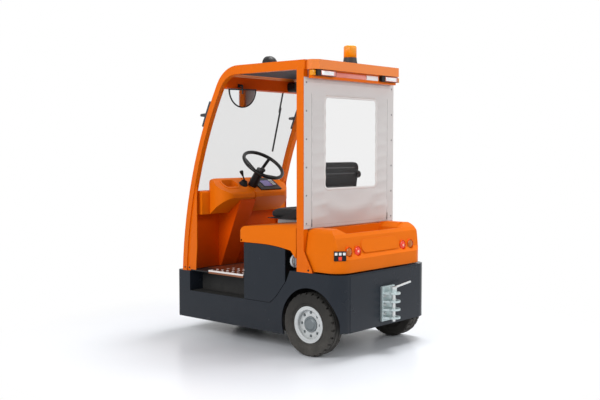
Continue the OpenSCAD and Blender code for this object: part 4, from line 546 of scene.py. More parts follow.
def curtain_fold(x, z):
    """How far the curtain stands behind its flat plane; its held edges and zips stay flat."""
    if abs(x) >= ZIP_X:
        return 0.0
    across = clamped(math.cos(math.pi / 2 * (abs(x) / ZIP_X))) ** FADE_SIDE
    up = (z - CURTAIN_Z[0]) / (CURTAIN_Z[1] - CURTAIN_Z[0])
    fade = min(1.0, up * FADE_LOW, (1.0 - up) * FADE_HIGH)
    wave = z * CROSS_RATE + CROSS_WAVER * math.sin(x * CROSS_SWAY) + x * CROSS_LEAN
    cross = (0.5 + 0.5 * math.sin(wave)) ** CROSS_SHARP
    beside = clamped((abs(x) - WINDOW_HALF + CROSS_START) / CROSS_BUILD)
    swing = 0.5 + 0.5 * math.sin(SWING_RATE * math.hypot(x - SWING_X, z - SWING_Z) + SWING_LEAN * x)
    below = clamped((WINDOW_Z[0] - SWING_GAP - z) * SWING_BUILD)
    return fade * across * (CROSS_DEEP * cross * beside + SWING_DEEP * below * swing)


def curtain_point(x, z):
    """The curtain's point at a width and a height."""
    return Vector((x, CURTAIN_Y + curtain_fold(x, z), z))


def follow_curtain(mesh_data, lift=0.0):
    """Lays a flat mesh on the curtain's folds."""
    for vert in mesh_data.verts:
        vert.co.y += curtain_point(vert.co.x, vert.co.z).y + lift


def flat_grid(half, low, high, pitch):
    """A grid in the XZ plane, its middle on X 0."""
    made = bmesh.new()
    bmesh.ops.create_grid(made, x_segments=round(2 * half / pitch),
                          y_segments=round((high - low) / pitch), size=1.0)
    for vert in made.verts:
        vert.co = Vector((vert.co.x * half, 0.0, low + (vert.co.y + 1) / 2 * (high - low)))
    return made


curtain = flat_grid(CURTAIN_HALF, *CURTAIN_Z, CURTAIN_PITCH)
hole = []
for face in curtain.faces:
    middle = face.calc_center_median()
    if inside_round(middle.x, middle.z, WINDOW_HALF, *WINDOW_Z, WINDOW_ROUND):
        hole.append(face)
window_open = sum(face.calc_area() for face in hole)
bmesh.ops.delete(curtain, geom=hole, context="FACES")
follow_curtain(curtain)
rear_sheet = piece("curtain_sheet", curtain, curtain_cloth)
thicken(rear_sheet, SHEET_THICK)
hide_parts("rear_curtain")

# Clear window: its ripples run by three rates, in radians per metre
FILM_INSIDE, FILM_WAVE = 0.6 * MM, 0.5 * MM
FILM_ALONG, FILM_SLANT, FILM_UP = 21.0, 9.0, 17.0
film = flat_grid(WINDOW_HALF + WINDOW_LAP, WINDOW_Z[0] - WINDOW_LAP, WINDOW_Z[1] + WINDOW_LAP,
                 FILM_PITCH)
for vert in film.verts:
    slanted = math.sin(vert.co.x * FILM_ALONG + vert.co.z * FILM_SLANT)
    vert.co.y = CURTAIN_Y - FILM_INSIDE + FILM_WAVE * slanted * math.sin(vert.co.z * FILM_UP)
window_sheet = piece("window_sheet", film, window_film)
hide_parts("curtain_window")


def round_loop(half, low, high, radius, steps=10):
    """Points round a rounded rectangle in the XZ plane."""
    corner_starts = ((half - radius, high - radius, 0), (-half + radius, high - radius, 90),
                     (-half + radius, low + radius, 180), (half - radius, low + radius, 270))
    points = []
    for corner_x, corner_z, start in corner_starts:
        for step in range(steps + 1):
            turn = math.radians(start + 90 * step / steps)
            points.append((corner_x + radius * math.cos(turn),
                           corner_z + radius * math.sin(turn)))
    return points


def run_along(points, count):
    """Evenly spaced points along a closed loop."""
    closed = points + [points[0]]
    lengths = [math.dist(start, end) for start, end in zip(closed, closed[1:])]
    total = sum(lengths)
    made, index, gone = [], 0, 0.0
    for step in range(count):
        want = total * step / count
        while index < len(lengths) - 1 and gone + lengths[index] < want:
            gone += lengths[index]
            index += 1
        share = (want - gone) / lengths[index]
        (x, z), (next_x, next_z) = closed[index], closed[index + 1]
        made.append((x + (next_x - x) * share, z + (next_z - z) * share))
    return made


# Welt round the window: a flat ring between a wider and a narrower loop
WELT_OUT, WELT_IN, WELT_ROUND, WELT_THICK = 11 * MM, 7 * MM, 8 * MM, 1.8 * MM
WELT_POINTS = 300
welt = bmesh.new()
rings = []
for grow, radius in ((WELT_OUT, WINDOW_ROUND + WELT_ROUND), (-WELT_IN, WINDOW_ROUND - WELT_ROUND)):
    loop = round_loop(WINDOW_HALF + grow, WINDOW_Z[0] - grow, WINDOW_Z[1] + grow, radius)
    ring = [welt.verts.new(curtain_point(x, z)) for x, z in run_along(loop, WELT_POINTS)]
    rings += [welt.edges.new(pair) for pair in zip(ring, ring[1:] + ring[:1])]
bmesh.ops.bridge_loops(welt, edges=rings)
bmesh.ops.recalc_face_normals(welt, faces=welt.faces)
window_welt = piece("window_welt", welt, welt_cloth)
thicken(window_welt, WELT_THICK)

# Two zips: a tape each, its teeth, and at the foot a slider with a pull
TAPE_LOW, TAPE_HIGH = CURTAIN_Z[0] + 0.020, CURTAIN_Z[1] - 0.100
TOOTH_LOW, TOOTH_HIGH = TAPE_LOW + 2 * MM, TAPE_HIGH - 5 * MM
TOOTH_TALL, TOOTH_PITCH = 3.4 * MM, 6 * MM


def add_on_zip(mesh_data, side, half, near, far, low, high, bevel, segments=2):
    """A block over a zip's line, from near to far behind the curtain, between two heights."""
    add_box(mesh_data, (side * ZIP_X - half, CURTAIN_Y + near, low),
            (side * ZIP_X + half, CURTAIN_Y + far, high), bevel=bevel, segments=segments)


zips = bmesh.new()
for side in SIDES:
    add_on_zip(zips, side, 9 * MM, 0.0, 1.5 * MM, TAPE_LOW, TAPE_HIGH, 0.5 * MM)
zip_tape = piece("zip_tapes", zips, welt_cloth)
teeth = bmesh.new()
for side in SIDES:
    for place in range(math.ceil((TOOTH_HIGH - TOOTH_LOW) / TOOTH_PITCH)):
        z = TOOTH_LOW + place * TOOTH_PITCH
        add_on_zip(teeth, side, 3 * MM, 0.8 * MM, 2.4 * MM, z, z + TOOTH_TALL, 0.5 * MM, segments=1)
    add_on_zip(teeth, side, 6 * MM, 1 * MM, 4 * MM, TAPE_LOW - 8 * MM, TAPE_LOW + 14 * MM, 1.4 * MM)
    add_on_zip(teeth, side, 3.5 * MM, 3 * MM, 5 * MM, TAPE_LOW + 8 * MM, TAPE_LOW + 42 * MM, 0.9 * MM)
zip_teeth = piece("zip_teeth", teeth, seam_thread, smooth=False)

# Snaps down both edges: a plate each with a domed head
SNAP_X, SNAP_COUNT, SNAP_EDGE = 0.462, 6, 0.035
SNAP_PITCH = (CURTAIN_Z[1] - CURTAIN_Z[0] - 2 * SNAP_EDGE) / (SNAP_COUNT - 1)
snaps = bmesh.new()
for side in SIDES:
    for step in range(SNAP_COUNT):
        base = Vector((side * SNAP_X, CURTAIN_Y, CURTAIN_Z[0] + SNAP_EDGE + step * SNAP_PITCH))
        add_rod(snaps, base, base + Vector((0, 1.4 * MM, 0)), 6.0 * MM, segments=20)
        add_rod(snaps, base + Vector((0, 1.2 * MM, 0)), base + Vector((0, 2.6 * MM, 0)), 4.6 * MM,
                tip=3.0 * MM, segments=20)
curtain_snaps = piece("curtain_snaps", snaps, seam_thread)

# Stitches along the lower and the upper hem: a row of cells, of which every second one is cut out
STITCH_TALL, STITCH_LONG, STITCH_THICK = 1.2 * MM, 4 * MM, 0.6 * MM
hems = bmesh.new()
for low in (CURTAIN_Z[0] + 0.022, CURTAIN_Z[1] - 0.030):
    seam_grid = flat_grid(CURTAIN_HALF - 0.012, low, low + STITCH_TALL, STITCH_LONG)
    between = [face for index, face in enumerate(seam_grid.faces) if index % 2]
    bmesh.ops.delete(seam_grid, geom=between, context="FACES")
    follow_curtain(seam_grid, STITCH_THICK)
    seam_mesh = bpy.data.meshes.new("seam")
    seam_grid.to_mesh(seam_mesh)
    seam_grid.free()
    hems.from_mesh(seam_mesh)
    bpy.data.meshes.remove(seam_mesh)
hem_stitches = piece("hem_stitches", hems, seam_thread)
thicken(hem_stitches, STITCH_THICK)


# Seat: two padded cushions, made from the solids that hold their place

CUSHION_START = 0.965
CUSHION_CELL = 6 * MM
BLOW_STEPS, BLOW_PRESSURE, BLOW_KEPT, BLOW_MOST = 20, 4.0, 0.5, 8 * MM


def blow_up(cushion):
    """Fills a cushion with air by a short cloth simulation, and keeps a share of what it moves."""
    remesh = cushion.modifiers.new("even", "REMESH")
    remesh.mode = "VOXEL"
    remesh.voxel_size = CUSHION_CELL
    remesh.use_smooth_shade = True
    apply_modifiers(cushion)
    rest = [vert.co.copy() for vert in cushion.data.vertices]
    cloth = cushion.modifiers.new("cloth", "CLOTH")
    cloth.settings.use_pressure = True
    cloth.settings.uniform_pressure_force = BLOW_PRESSURE
    cloth.settings.effector_weights.gravity = 0.0
    cloth.settings.quality = 5
    cloth.point_cache.frame_start = 1
    cloth.point_cache.frame_end = BLOW_STEPS
    for step in range(1, BLOW_STEPS + 1):
        bpy.context.scene.frame_set(step)
    apply_modifiers(cushion)
    bpy.context.scene.frame_set(1)
    for vert, start in zip(cushion.data.vertices, rest):
        move = (vert.co - start) * BLOW_KEPT
        if move.length > BLOW_MOST:
            move = move.normalized() * BLOW_MOST
        vert.co = start + move


def padded_copy(name, node, body):
    """A cushion blown up a little from a smaller copy of its solid."""
    made = bmesh.new()
    made.from_mesh(nodes[node].data)
    bmesh.ops.remove_doubles(made, verts=made.verts, dist=0.05 * MM)
    bmesh.ops.recalc_face_normals(made, faces=made.faces)
    low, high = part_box(node)
    middle = (low + high) / 2
    for vert in made.verts:
        vert.co = middle + (vert.co - middle) * CUSHION_START
    cushion = piece(name, made, seat_cloth, body)
    blow_up(cushion)
    for polygon in cushion.data.polygons:
        polygon.use_smooth = True
    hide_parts(node)
    return cushion


seat_pad = padded_copy("seat_pad", "seat_cushion", "seat")
back_pad = padded_copy("back_pad", "backrest_cushion", "backrest")


def sink_seam(made, distance, width, deep, normal):
    """Presses a sewn channel into a cushion: distance(point) is 0 along the seam."""
    for vert in made.data.vertices:
        gone = abs(distance(vert.co))
        if gone >= width:
            continue
        facing = vert.normal.dot(normal)
        if facing > SEAM_FACING:
            vert.co -= normal * deep * (0.5 + 0.5 * math.cos(math.pi * gone / width)) * facing


SEAM_FACING = 0.15
SEAM_X, SEAM_Y = 0.118, 0.075
LONG_SEAM, CROSS_SEAM = (9 * MM, 5 * MM), (8 * MM, 4 * MM)
seat_low, seat_high = corners("seat_cushion")
SEAT_MIDDLE_Y = (seat_low[1] + seat_high[1]) / 2
SEAT_NORMAL = Vector((0, 0, 1))
BACK_LEAN = math.radians(8)
BACK_NORMAL = Vector((0.0, -math.cos(BACK_LEAN), -math.sin(BACK_LEAN)))
for x in (-SEAM_X, SEAM_X):
    sink_seam(seat_pad, lambda co, x=x: co.x - x, *LONG_SEAM, SEAT_NORMAL)
    sink_seam(back_pad, lambda co, x=x: co.x - x, *LONG_SEAM, BACK_NORMAL)
for y in (SEAT_MIDDLE_Y - SEAM_Y, SEAT_MIDDLE_Y + SEAM_Y):
    sink_seam(seat_pad, lambda co, y=y: co.y - y if abs(co.x) < SEAM_X else 1.0, *CROSS_SEAM,
              SEAT_NORMAL)


# Frame of the dash's slope: its middle, with +Z pointing away from it

SLOPE_RUN, SLOPE_DROP = 0.160, 0.106
dash_high = corners("dash_console")[1]
SLOPE = (Matrix.Translation((0, dash_high[1] - SLOPE_RUN / 2, dash_high[2] - SLOPE_DROP / 2))
         @ Matrix.Rotation(-math.atan2(SLOPE_DROP, SLOPE_RUN), 4, "X"))
SLOPE_UP = SLOPE.to_3x3() @ Vector((0, 0, 1))


# Direction lever's bellows

LEVER_X, LEVER_RUN = joints["direction_select"]["pos_m"][0], -0.010
BOOT_R, BOOT_H, BOOT_MOUTH, BOOT_WALL = 0.034, 0.030, 0.021, 1.5 * MM
BOOT_FOLDS, BOOT_FOLD_DEEP, BOOT_STEPS, BOOT_CLEAR = 4, 2.2 * MM, 8, 0.4 * MM
boot_line = [(BOOT_R, 0.0)]
for step in range(BOOT_FOLDS * BOOT_STEPS + 1):
    share = step / (BOOT_FOLDS * BOOT_STEPS)
    dent = BOOT_FOLD_DEEP * (0.5 - 0.5 * math.cos(2 * math.pi * BOOT_FOLDS * share))
    boot_line.append((BOOT_R + (BOOT_MOUTH - BOOT_R) * share - dent, BOOT_H * share))
boot_line += [(BOOT_MOUTH - BOOT_WALL, BOOT_H), (BOOT_MOUTH - BOOT_WALL, BOOT_H - 2 * BOOT_WALL)]
bellows = bmesh.new()
revolve(bellows, boot_line, SLOPE @ Vector((LEVER_X, LEVER_RUN, BOOT_CLEAR)), SLOPE_UP)
lever_bellows = piece("lever_bellows", bellows, pedal_rubber)
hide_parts("lever_boot")


# Mirror glass: a half-round plate in the rear face of the head, with a dark lip round it

MIRROR_HALF, MIRROR_TALL, MIRROR_DROP, MIRROR_STEPS = 0.092, 0.116, 0.008, 40
GLASS_BACK, GLASS_THICK, LIP_BACK, LIP_R = 8.8 * MM, 1.2 * MM, 9.5 * MM, 3.4 * MM
LIP_WIDER, LIP_TALLER, LIP_RAISED, MIRROR_BEARING = 1.05, 1.045, 1 * MM, math.radians(-28)
MIRROR = (Matrix.Translation(joints["mirror_turn"]["pos_m"])
          @ Matrix.Rotation(MIRROR_BEARING, 4, "Z"))
half_round = []
for step in range(MIRROR_STEPS + 1):
    turn = math.pi * step / MIRROR_STEPS
    half_round.append((-MIRROR_HALF * math.cos(turn), -MIRROR_DROP - MIRROR_TALL * math.sin(turn)))
glass = bmesh.new()
face = glass.faces.new([glass.verts.new((x, 0.0, z)) for x, z in half_round])
grown = bmesh.ops.extrude_face_region(glass, geom=[face])["geom"]
bmesh.ops.translate(glass, vec=(0, GLASS_THICK, 0),
                    verts=[item for item in grown if isinstance(item, bmesh.types.BMVert)])
bmesh.ops.recalc_face_normals(glass, faces=glass.faces)
bmesh.ops.transform(glass, matrix=MIRROR @ Matrix.Translation((0, GLASS_BACK, 0)), verts=glass.verts)
mirror_glass = piece("mirror_glass", glass, mirror_silver, "mirror_head", smooth=False)
edge = [MIRROR @ Vector((x * LIP_WIDER, LIP_BACK, z * LIP_TALLER + LIP_RAISED)) for x, z in half_round]
mirror_lip = tube_piece("mirror_lip", edge, LIP_R, black_plastic, "mirror_head")


# Beacon: a lens with standing flutes

lens_low, lens_high = corners("beacon_lens")
BEACON_R, BEACON_H = lens_high[0], lens_high[2] - lens_low[2]
BEACON_Y = 0.405
BEACON = Vector((0.0, BEACON_Y, lens_low[2]))
FLUTES, FLUTE_DEEP = 24, 1.4 * MM
lens = bmesh.new()
revolve(lens, [(0.0, 0.0), (BEACON_R, 0.0), (BEACON_R, BEACON_H - 14 * MM),
               (BEACON_R - 4 * MM, BEACON_H - 4 * MM), (BEACON_R - 14 * MM, BEACON_H), (0.0, BEACON_H)],
        BEACON, steps=6 * FLUTES)
for vert in lens.verts:
    away = Vector((vert.co.x - BEACON.x, vert.co.y - BEACON.y, 0))
    if away.length > BEACON_R - 6 * MM:
        flute = abs(math.sin(math.atan2(away.y, away.x) * FLUTES / 2))
        vert.co -= away.normalized() * FLUTE_DEEP * flute
beacon_dome = piece("beacon_dome", lens, amber)
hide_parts("beacon_lens")


# Tail lamps: domed lenses, each in a collar that stands out of the cover

RED_X, AMBER_X, TAIL_Z = 0.250, 0.341, 0.677
TAIL_FACE = corners("red_lamps")[1][1] + 4 * MM
TAIL_R = 31.2 * MM


def tail_piece(name, places, outline, material, node=None):
    """The same turned shape at each lamp's place."""
    made = bmesh.new()
    for x in places:
        revolve(made, outline, (x, TAIL_FACE, TAIL_Z), (0, 1, 0), steps=40)
    shown = piece(name, made, material)
    if node:
        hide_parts(node)


TAIL_DOME = [(0.0, 7.0 * MM), (9.0 * MM, 6.7 * MM), (18.0 * MM, 5.4 * MM), (26.0 * MM, 2.8 * MM),
             (TAIL_R, -1.0 * MM), (TAIL_R, -18.0 * MM), (0.0, -18.0 * MM)]
TAIL_HEART = [(0.0, 7.6 * MM), (6.0 * MM, 7.4 * MM), (9.0 * MM, 6.6 * MM)]
TAIL_RIM = [(TAIL_R - 0.2 * MM, 0.5 * MM), (TAIL_R + 0.6 * MM, 3.4 * MM), (TAIL_R + 2.6 * MM, 3.8 * MM),
            (TAIL_R + 4.2 * MM, 1.6 * MM), (TAIL_R + 4.4 * MM, -14.0 * MM),
            (TAIL_R - 0.2 * MM, -14.0 * MM), (TAIL_R - 0.2 * MM, 0.5 * MM)]
tail_piece("red_lenses", (-RED_X, RED_X), TAIL_DOME, red, "red_lamps")
tail_piece("amber_lenses", (-AMBER_X, AMBER_X), TAIL_DOME, amber_dark, "amber_lamps")
tail_piece("lamp_hearts", (-RED_X, RED_X), TAIL_HEART, lamp_heart)
tail_piece("lamp_rims", (-AMBER_X, -RED_X, RED_X, AMBER_X), TAIL_RIM, inner_orange_shaded)


# Roof strip: two work lamps of small bowls, and between them a reflecting band with a white patch that is a
# painted reflection of glare

work_low, work_high = corners("work_lamps")
LAMP_HALF = 0.095
LAMP_X, LAMP_Z, LAMP_FACE = work_high[0] - LAMP_HALF, (work_low[2] + work_high[2]) / 2, work_high[1]
STRIP_FACE = corners("rear_header")[1][1]
STRIP_LOW, STRIP_HIGH, STRIP_OUT = LAMP_Z - 17 * MM, LAMP_Z + 14 * MM, 5 * MM
BAND_X, GLARE_PATCH_X = (-0.096, 0.245), (-0.232, -0.102)
BOWL_PLATE, BOWL_PITCH, BOWL_RISE, BOWL_R = 1.6 * MM, 16.5 * MM, 6.2 * MM, 5.0 * MM


def add_on_strip(mesh_data, low_x, high_x):
    """A flat block on the header's rear face, between two widths."""
    add_box(mesh_data, (low_x, STRIP_FACE - 1 * MM, STRIP_LOW), (high_x, STRIP_FACE + STRIP_OUT, STRIP_HIGH),
            bevel=1.5 * MM)


for side, word in ((1, "left"), (-1, "right")):
    bowls = bmesh.new()
    add_box(bowls, (side * LAMP_X - 0.070, LAMP_FACE, LAMP_Z - 12.5 * MM),
            (side * LAMP_X + 0.050, LAMP_FACE + BOWL_PLATE, LAMP_Z + 12.5 * MM), bevel=0.7 * MM)
    for column in range(-3, 4):
        for row in SIDES:
            spot = (side * LAMP_X - 10 * MM + column * BOWL_PITCH, LAMP_FACE + BOWL_PLATE,
                    LAMP_Z + row * BOWL_RISE)
            add_ring(bowls, spot, (0, 1, 0), BOWL_R, 0.9 * MM, segments=20, sides=6)
    reflector = piece("lamp_bowls_" + word, bowls, lamp_bright)
fronts = bmesh.new()
for side in SIDES:
    add_box(fronts, (side * LAMP_X - 0.090, LAMP_FACE - 3 * MM, LAMP_Z - 16.5 * MM),
            (side * LAMP_X + 0.056, LAMP_FACE + 0.8 * MM, LAMP_Z + 16.5 * MM), bevel=1.5 * MM)
add_on_strip(fronts, *BAND_X)
lamp_fronts = piece("lamp_fronts", fronts, marker_red)
# The white patch on the band is a painted reflection of glare
patch = bmesh.new()
add_on_strip(patch, *GLARE_PATCH_X)
strip_glare = piece("strip_glare", patch, white_tile_and_glare)
MARKER_X, MARKER_WIDE, MARKER_DEEP = 0.4405, 29.5 * MM, 14 * MM
markers = bmesh.new()
for side in SIDES:
    low_x, high_x = sorted((side * MARKER_X, side * (MARKER_X + MARKER_WIDE)))
    add_box(markers, (low_x, STRIP_FACE - MARKER_DEEP, STRIP_LOW),
            (high_x, STRIP_FACE + MARKER_DEEP, LAMP_Z + 16 * MM), bevel=2.5 * MM)
side_markers = piece("side_markers", markers, amber)


# Screen, keys and lights of the display, placed from its middle on the slope

DISPLAY_X = -0.148
DISPLAY = SLOPE @ Matrix.Translation((DISPLAY_X, 0, 0))
DISPLAY_TOP = 9.3 * MM
SCREEN_X, SCREEN_Y, BEZEL_WIDE = 0.047, 0.037, 7 * MM
KEY_HALF_X, KEY_HALF_Y = 8.5 * MM, 9 * MM
KEY_COLUMNS, KEY_ROWS = (-0.083, -0.062), (-0.036, -0.011, 0.014)
LIGHT_X, LIGHT_ROWS = 0.078, (-0.036, -0.012, 0.012, 0.036)
face_plate = bmesh.new()
add_turned_box(face_plate, DISPLAY, (1 * MM - SCREEN_X, 1 * MM - SCREEN_Y, DISPLAY_TOP - 1.5 * MM),
               (SCREEN_X - 1 * MM, SCREEN_Y - 1 * MM, DISPLAY_TOP + 1.0 * MM), 0.6 * MM)
display_face = piece("display_face", face_plate, screen, smooth=False)
bezel = bmesh.new()
outer_x, outer_y = SCREEN_X + BEZEL_WIDE, SCREEN_Y + BEZEL_WIDE
BEZEL_BARS = ((-outer_x, -outer_y, outer_x, -SCREEN_Y), (-outer_x, SCREEN_Y, outer_x, outer_y),
              (-outer_x, -SCREEN_Y, -SCREEN_X, SCREEN_Y), (SCREEN_X, -SCREEN_Y, outer_x, SCREEN_Y))
for low_x, low_y, high_x, high_y in BEZEL_BARS:
    add_turned_box(bezel, DISPLAY, (low_x, low_y, DISPLAY_TOP - 1.0 * MM),
                   (high_x, high_y, DISPLAY_TOP + 2.2 * MM), 0.8 * MM)
display_bezel = piece("display_bezel", bezel, black_plastic)
keys = bmesh.new()
for x in KEY_COLUMNS:
    for y in KEY_ROWS:
        add_turned_box(keys, DISPLAY, (x - KEY_HALF_X, y - KEY_HALF_Y, DISPLAY_TOP - 1.0 * MM),
                       (x + KEY_HALF_X, y + KEY_HALF_Y, DISPLAY_TOP + 2.0 * MM), 1.0 * MM)
display_keys = piece("display_keys", keys, light_plastic)
lights = bmesh.new()
for y in LIGHT_ROWS:
    revolve(lights, [(0.0, 2.4 * MM), (3.0 * MM, 2.0 * MM), (5.0 * MM, 0.6 * MM), (5.6 * MM, 0.0)],
            DISPLAY @ Vector((LIGHT_X, y, DISPLAY_TOP - 0.5 * MM)), SLOPE_UP, steps=20)
display_lights = piece("display_lights", lights, amber_dark)


# Rear switches: three blank tiles above the rockers, on the cover's rounded corner

COVER_ROUND, SWITCH_BEARING = 0.105, math.radians(48)
cover_high = corners("rear_cover")[1]
plate_low, plate_high = corners("switch_plate")
SWITCH_MIDDLE = Vector((cover_high[0] - COVER_ROUND, cover_high[1] - COVER_ROUND,
                        (plate_low[2] + plate_high[2]) / 2))
SWITCH_FACE = (Matrix.Translation(SWITCH_MIDDLE) @ Matrix.Rotation(SWITCH_BEARING, 4, "Z")
               @ Matrix.Translation((COVER_ROUND, 0, 0)))
TILE_PITCH, TILE_HALF = 26 * MM, 8.5 * MM
tiles = bmesh.new()
for y in (-TILE_PITCH, 0.0, TILE_PITCH):
    add_turned_box(tiles, SWITCH_FACE, (1.8 * MM, y - TILE_HALF, 6 * MM),
                   (3.0 * MM, y + TILE_HALF, 23 * MM), 0.5 * MM)
switch_tiles = piece("switch_tiles", tiles, white_tile_and_glare, smooth=False)


# Floor mat with round studs, its orange-brown colour a painted reflection of the orange cab walls

FLOOR_TOP = corners("column_cover")[0][2]
MAT_HALF, MAT_FRONT, MAT_REAR, MAT_THICK = 0.352, -0.640, -0.150, 3.5 * MM
STUD_PITCH, STUD_MARGIN = 0.053, 0.034
mat = bmesh.new()
add_box(mat, (-MAT_HALF, MAT_FRONT, FLOOR_TOP), (MAT_HALF, MAT_REAR, FLOOR_TOP + MAT_THICK), bevel=1.2 * MM)
for row in range(9):
    for place in range(-4, 5):
        spot = (place * STUD_PITCH, MAT_FRONT + STUD_MARGIN + row * STUD_PITCH,
                FLOOR_TOP + MAT_THICK - 0.5 * MM)
        revolve(mat, [(0.0, 2.6 * MM), (7.0 * MM, 2.3 * MM), (10.5 * MM, 0.0)], spot, steps=16)
floor_mat = piece("floor_mat", mat, mat_orange_reflection)


# Step treads: light edges, and round studs in rows over the plates and the mat's borders; their light colour
# is partly bare metal and partly a painted highlight of the lit outer band

tread_low, tread_high = corners("step_treads")
TREAD_STUD = [(0.0, 4.6 * MM), (6.5 * MM, 4.2 * MM), (10.5 * MM, 2.4 * MM), (12.0 * MM, 0.0)]
TREAD_ROWS, PLATE_ROWS, TREAD_PLACES = 5, 2, 7
studs = bmesh.new()
for side in SIDES:
    for row in range(TREAD_ROWS):
        base = tread_high[2] - 1.5 * MM if row < PLATE_ROWS else FLOOR_TOP + 2 * MM
        for place in range(TREAD_PLACES):
            spot = (side * (tread_high[0] - 19 * MM - row * STUD_PITCH),
                    tread_low[1] + 16 * MM + place * STUD_PITCH, base)
            revolve(studs, TREAD_STUD, spot, steps=16)
    low_x, high_x = sorted((side * (tread_high[0] - 6.5 * MM), side * (tread_high[0] + 1.5 * MM)))
    add_box(studs, (low_x, tread_low[1], tread_high[2] - 10.5 * MM),
            (high_x, tread_high[1], tread_high[2] + 1.5 * MM), bevel=1.2 * MM)
tread_studs_highlight = piece("tread_studs_highlight", studs, tread_metal)


# Ribs across the back of the backrest's shell, as (height, half width)

RIBS = ((1.205, 0.150), (1.165, 0.158), (1.075, 0.160), (1.045, 0.158))
SHELL_Z, SHELL_Y, SHELL_SLOPE = 1.05, 0.3035, 0.1404
ribs = bmesh.new()
for z, half in RIBS:
    y = SHELL_Y + SHELL_SLOPE * (z - SHELL_Z)
    add_box(ribs, (-half, y - 1 * MM, z - 4 * MM), (half, y + 4 * MM, z + 4 * MM), bevel=1.8 * MM)
back_ribs = piece("back_ribs", ribs, rib_grey, "backrest")


# Screws that hold the pillars' feet

def dome_screw(mesh_data, place, axis, radius):
    """A low domed screw head with a round socket."""
    height = radius * 0.55
    outline = [(0.0, height * 0.35), (radius * 0.34, height * 0.35), (radius * 0.40, height)]
    for step in range(5):
        turn = math.radians(60 - 60 * step / 4)
        outline.append((radius * (0.55 + 0.45 * math.cos(turn)),
                        height * math.sin(turn) / math.sin(math.radians(60))))
    revolve(mesh_data, outline, place, axis, steps=20)


SCREW_X = 0.487
SCREWS = ((0.455, 0.556, 6.5 * MM), (-0.735, 0.476, 6.0 * MM), (-0.690, 0.476, 6.0 * MM))
screws = bmesh.new()
for side in SIDES:
    for y, z, radius in SCREWS:
        dome_screw(screws, (side * SCREW_X, y, z), (side, 0, 0), radius)
frame_screws = piece("frame_screws", screws, black_plastic)


# Cap over the steering wheel's nut

column = joints["steering_turn"]
COLUMN_AXIS = Vector(column["axis"])
CAP_DOWN = 0.044
cap = bmesh.new()
revolve(cap, [(0.0, 5 * MM), (12 * MM, 4.4 * MM), (21 * MM, 2.6 * MM), (25 * MM, 0.0)],
        Vector(column["pos_m"]) - CAP_DOWN * COLUMN_AXIS, COLUMN_AXIS)
wheel_cap = piece("wheel_cap", cap, grey_plastic, "steering")


# Hexagon bolts that hold the coupling's plate, each on a washer, between its jaws

COUPLING_PLATE, BOLT_X, BOLT_Z, BOLT_PITCH = 14 * MM, 0.046, 0.2505, 0.060
plate_face = corners("coupling_body")[0][1] + COUPLING_PLATE
bolts = bmesh.new()
for level in range(3):
    for side in SIDES:
        root = Vector((side * BOLT_X, plate_face, BOLT_Z + BOLT_PITCH * level))
        add_rod(bolts, root, root + Vector((0, 1.6 * MM, 0)), 12.0 * MM, segments=24)
        add_rod(bolts, root + Vector((0, 1.4 * MM, 0)), root + Vector((0, 9.5 * MM, 0)), 9.5 * MM, segments=6)
coupling_bolts = piece("coupling_bolts", bolts, pin_steel, smooth=False)


# Camera: its focal length and rise are in pixels of the photograph

PHOTO_WIDTH, PHOTO_FOCAL, PHOTO_RISE = 600.0, 888.3, 3.5
SENSOR = 36.0
EYE, EYE_TARGET = Vector((4.7513, 4.1675, 1.3339)), Vector((0.0, -0.0477, 0.9437))
camera_data = bpy.data.cameras.new("photo_camera")
camera_data.sensor_width = SENSOR
camera_data.lens = PHOTO_FOCAL / PHOTO_WIDTH * SENSOR
camera_data.shift_y = PHOTO_RISE / PHOTO_WIDTH
camera_data.clip_end = 60.0
camera = bpy.data.objects.new("photo_camera", camera_data)
bpy.context.scene.collection.objects.link(camera)
camera.location = EYE
camera.rotation_euler = (EYE_TARGET - EYE).to_track_quat("-Z", "Y").to_euler()
bpy.context.scene.camera = camera


# Floor and light

def seen_rays(tree):
    """1 for what the camera sees, straight or through gloss and glass."""
    rays = tree.nodes.new("ShaderNodeLightPath")
    seen = math_node(tree, "MAXIMUM", rays.outputs["Is Camera Ray"], rays.outputs["Is Glossy Ray"])
    return math_node(tree, "MAXIMUM", seen, rays.outputs["Is Transmission Ray"])


def white_far_off(material, near, far):
    """Away from the middle, the camera, gloss and glass see plain white instead of the lit floor."""
    tree = material.node_tree
    output = tree.nodes["Material Output"]
    surface = output.inputs["Surface"].links[0].from_socket
    place = tree.nodes.new("ShaderNodeTexCoord")
    length = add(tree, "ShaderNodeVectorMath", operation="LENGTH")
    tree.links.new(place.outputs["Object"], length.inputs[0])
    away = add(tree, "ShaderNodeMapRange", interpolation_type="SMOOTHSTEP", From_Min=near, From_Max=far)
    tree.links.new(length.outputs["Value"], away.inputs["Value"])
    share = math_node(tree, "MULTIPLY", away.outputs["Result"], seen_rays(tree))
    glow = add(tree, "ShaderNodeEmission", Color=WHITE, Strength=1.0)
    mix = tree.nodes.new("ShaderNodeMixShader")
    tree.links.new(share, mix.inputs[0])
    tree.links.new(surface, mix.inputs[1])
    tree.links.new(glow.outputs[0], mix.inputs[2])
    tree.links.new(mix.outputs[0], output.inputs["Surface"])


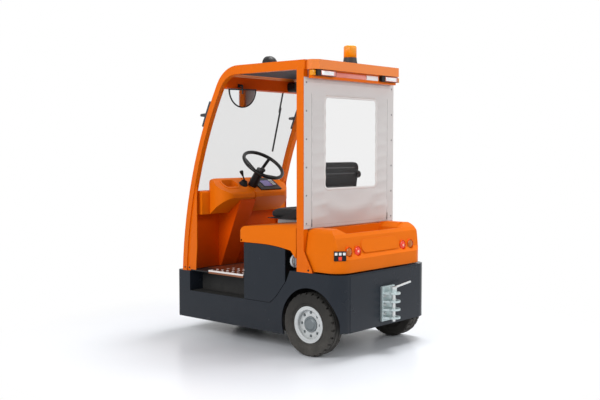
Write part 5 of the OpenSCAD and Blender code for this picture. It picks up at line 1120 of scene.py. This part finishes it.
FLOOR_HALF, FLOOR_DROP = 30.0, 0.5 * MM
LIT_NEAR, LIT_FAR = 1.25, 2.2
AMBIENT = 0.36
floor_mesh = bmesh.new()
bmesh.ops.create_grid(floor_mesh, x_segments=1, y_segments=1, size=FLOOR_HALF)
floor_data = bpy.data.meshes.new("floor")
floor_mesh.to_mesh(floor_data)
floor_mesh.free()
floor = bpy.data.objects.new("floor", floor_data)
bpy.context.scene.collection.objects.link(floor)
floor.location = (0, 0, -FLOOR_DROP)
floor_paint = finish("floor_paint", (0.80, 0.825, 0.87), (0.82, 0.84, 0.88), rough=0.28, spread=0.02,
                     grain=3, depth=0.0, Specular_IOR_Level=0.14)
white_far_off(floor_paint, LIT_NEAR, LIT_FAR)
floor_data.materials.append(floor_paint)

world = bpy.data.worlds.new("studio")
bpy.context.scene.world = world
world.use_nodes = True
sky = world.node_tree
ambient = sky.nodes["Background"]
ambient.inputs["Color"].default_value = WHITE
ambient.inputs["Strength"].default_value = AMBIENT
bright = add(sky, "ShaderNodeBackground", Color=WHITE, Strength=1.0)
switch = sky.nodes.new("ShaderNodeMixShader")
sky.links.new(seen_rays(sky), switch.inputs[0])
sky.links.new(ambient.outputs[0], switch.inputs[1])
sky.links.new(bright.outputs[0], switch.inputs[2])
sky.links.new(switch.outputs[0], sky.nodes["World Output"].inputs["Surface"])


def soft_box(name, place, size, power):
    """A square area lamp aimed at the middle of the vehicle, its power in watts."""
    lamp = bpy.data.lights.new(name, "AREA")
    lamp.shape = "SQUARE"
    lamp.size = size
    lamp.energy = power
    made = bpy.data.objects.new(name, lamp)
    bpy.context.scene.collection.objects.link(made)
    made.location = place
    made.rotation_euler = (LAMP_TARGET - Vector(place)).to_track_quat("-Z", "Y").to_euler()


LAMP_TARGET = Vector((0, 0, 0.8))
soft_box("side_box", place=(5.4, 0.2, 3.4), size=2.6, power=185)
soft_box("back_box", place=(-1.6, 6.0, 3.4), size=2.6, power=150)
soft_box("top_box", place=(-1.5, 0.3, 5.8), size=2.4, power=260)
bpy.context.scene.view_settings.view_transform = "Standard"
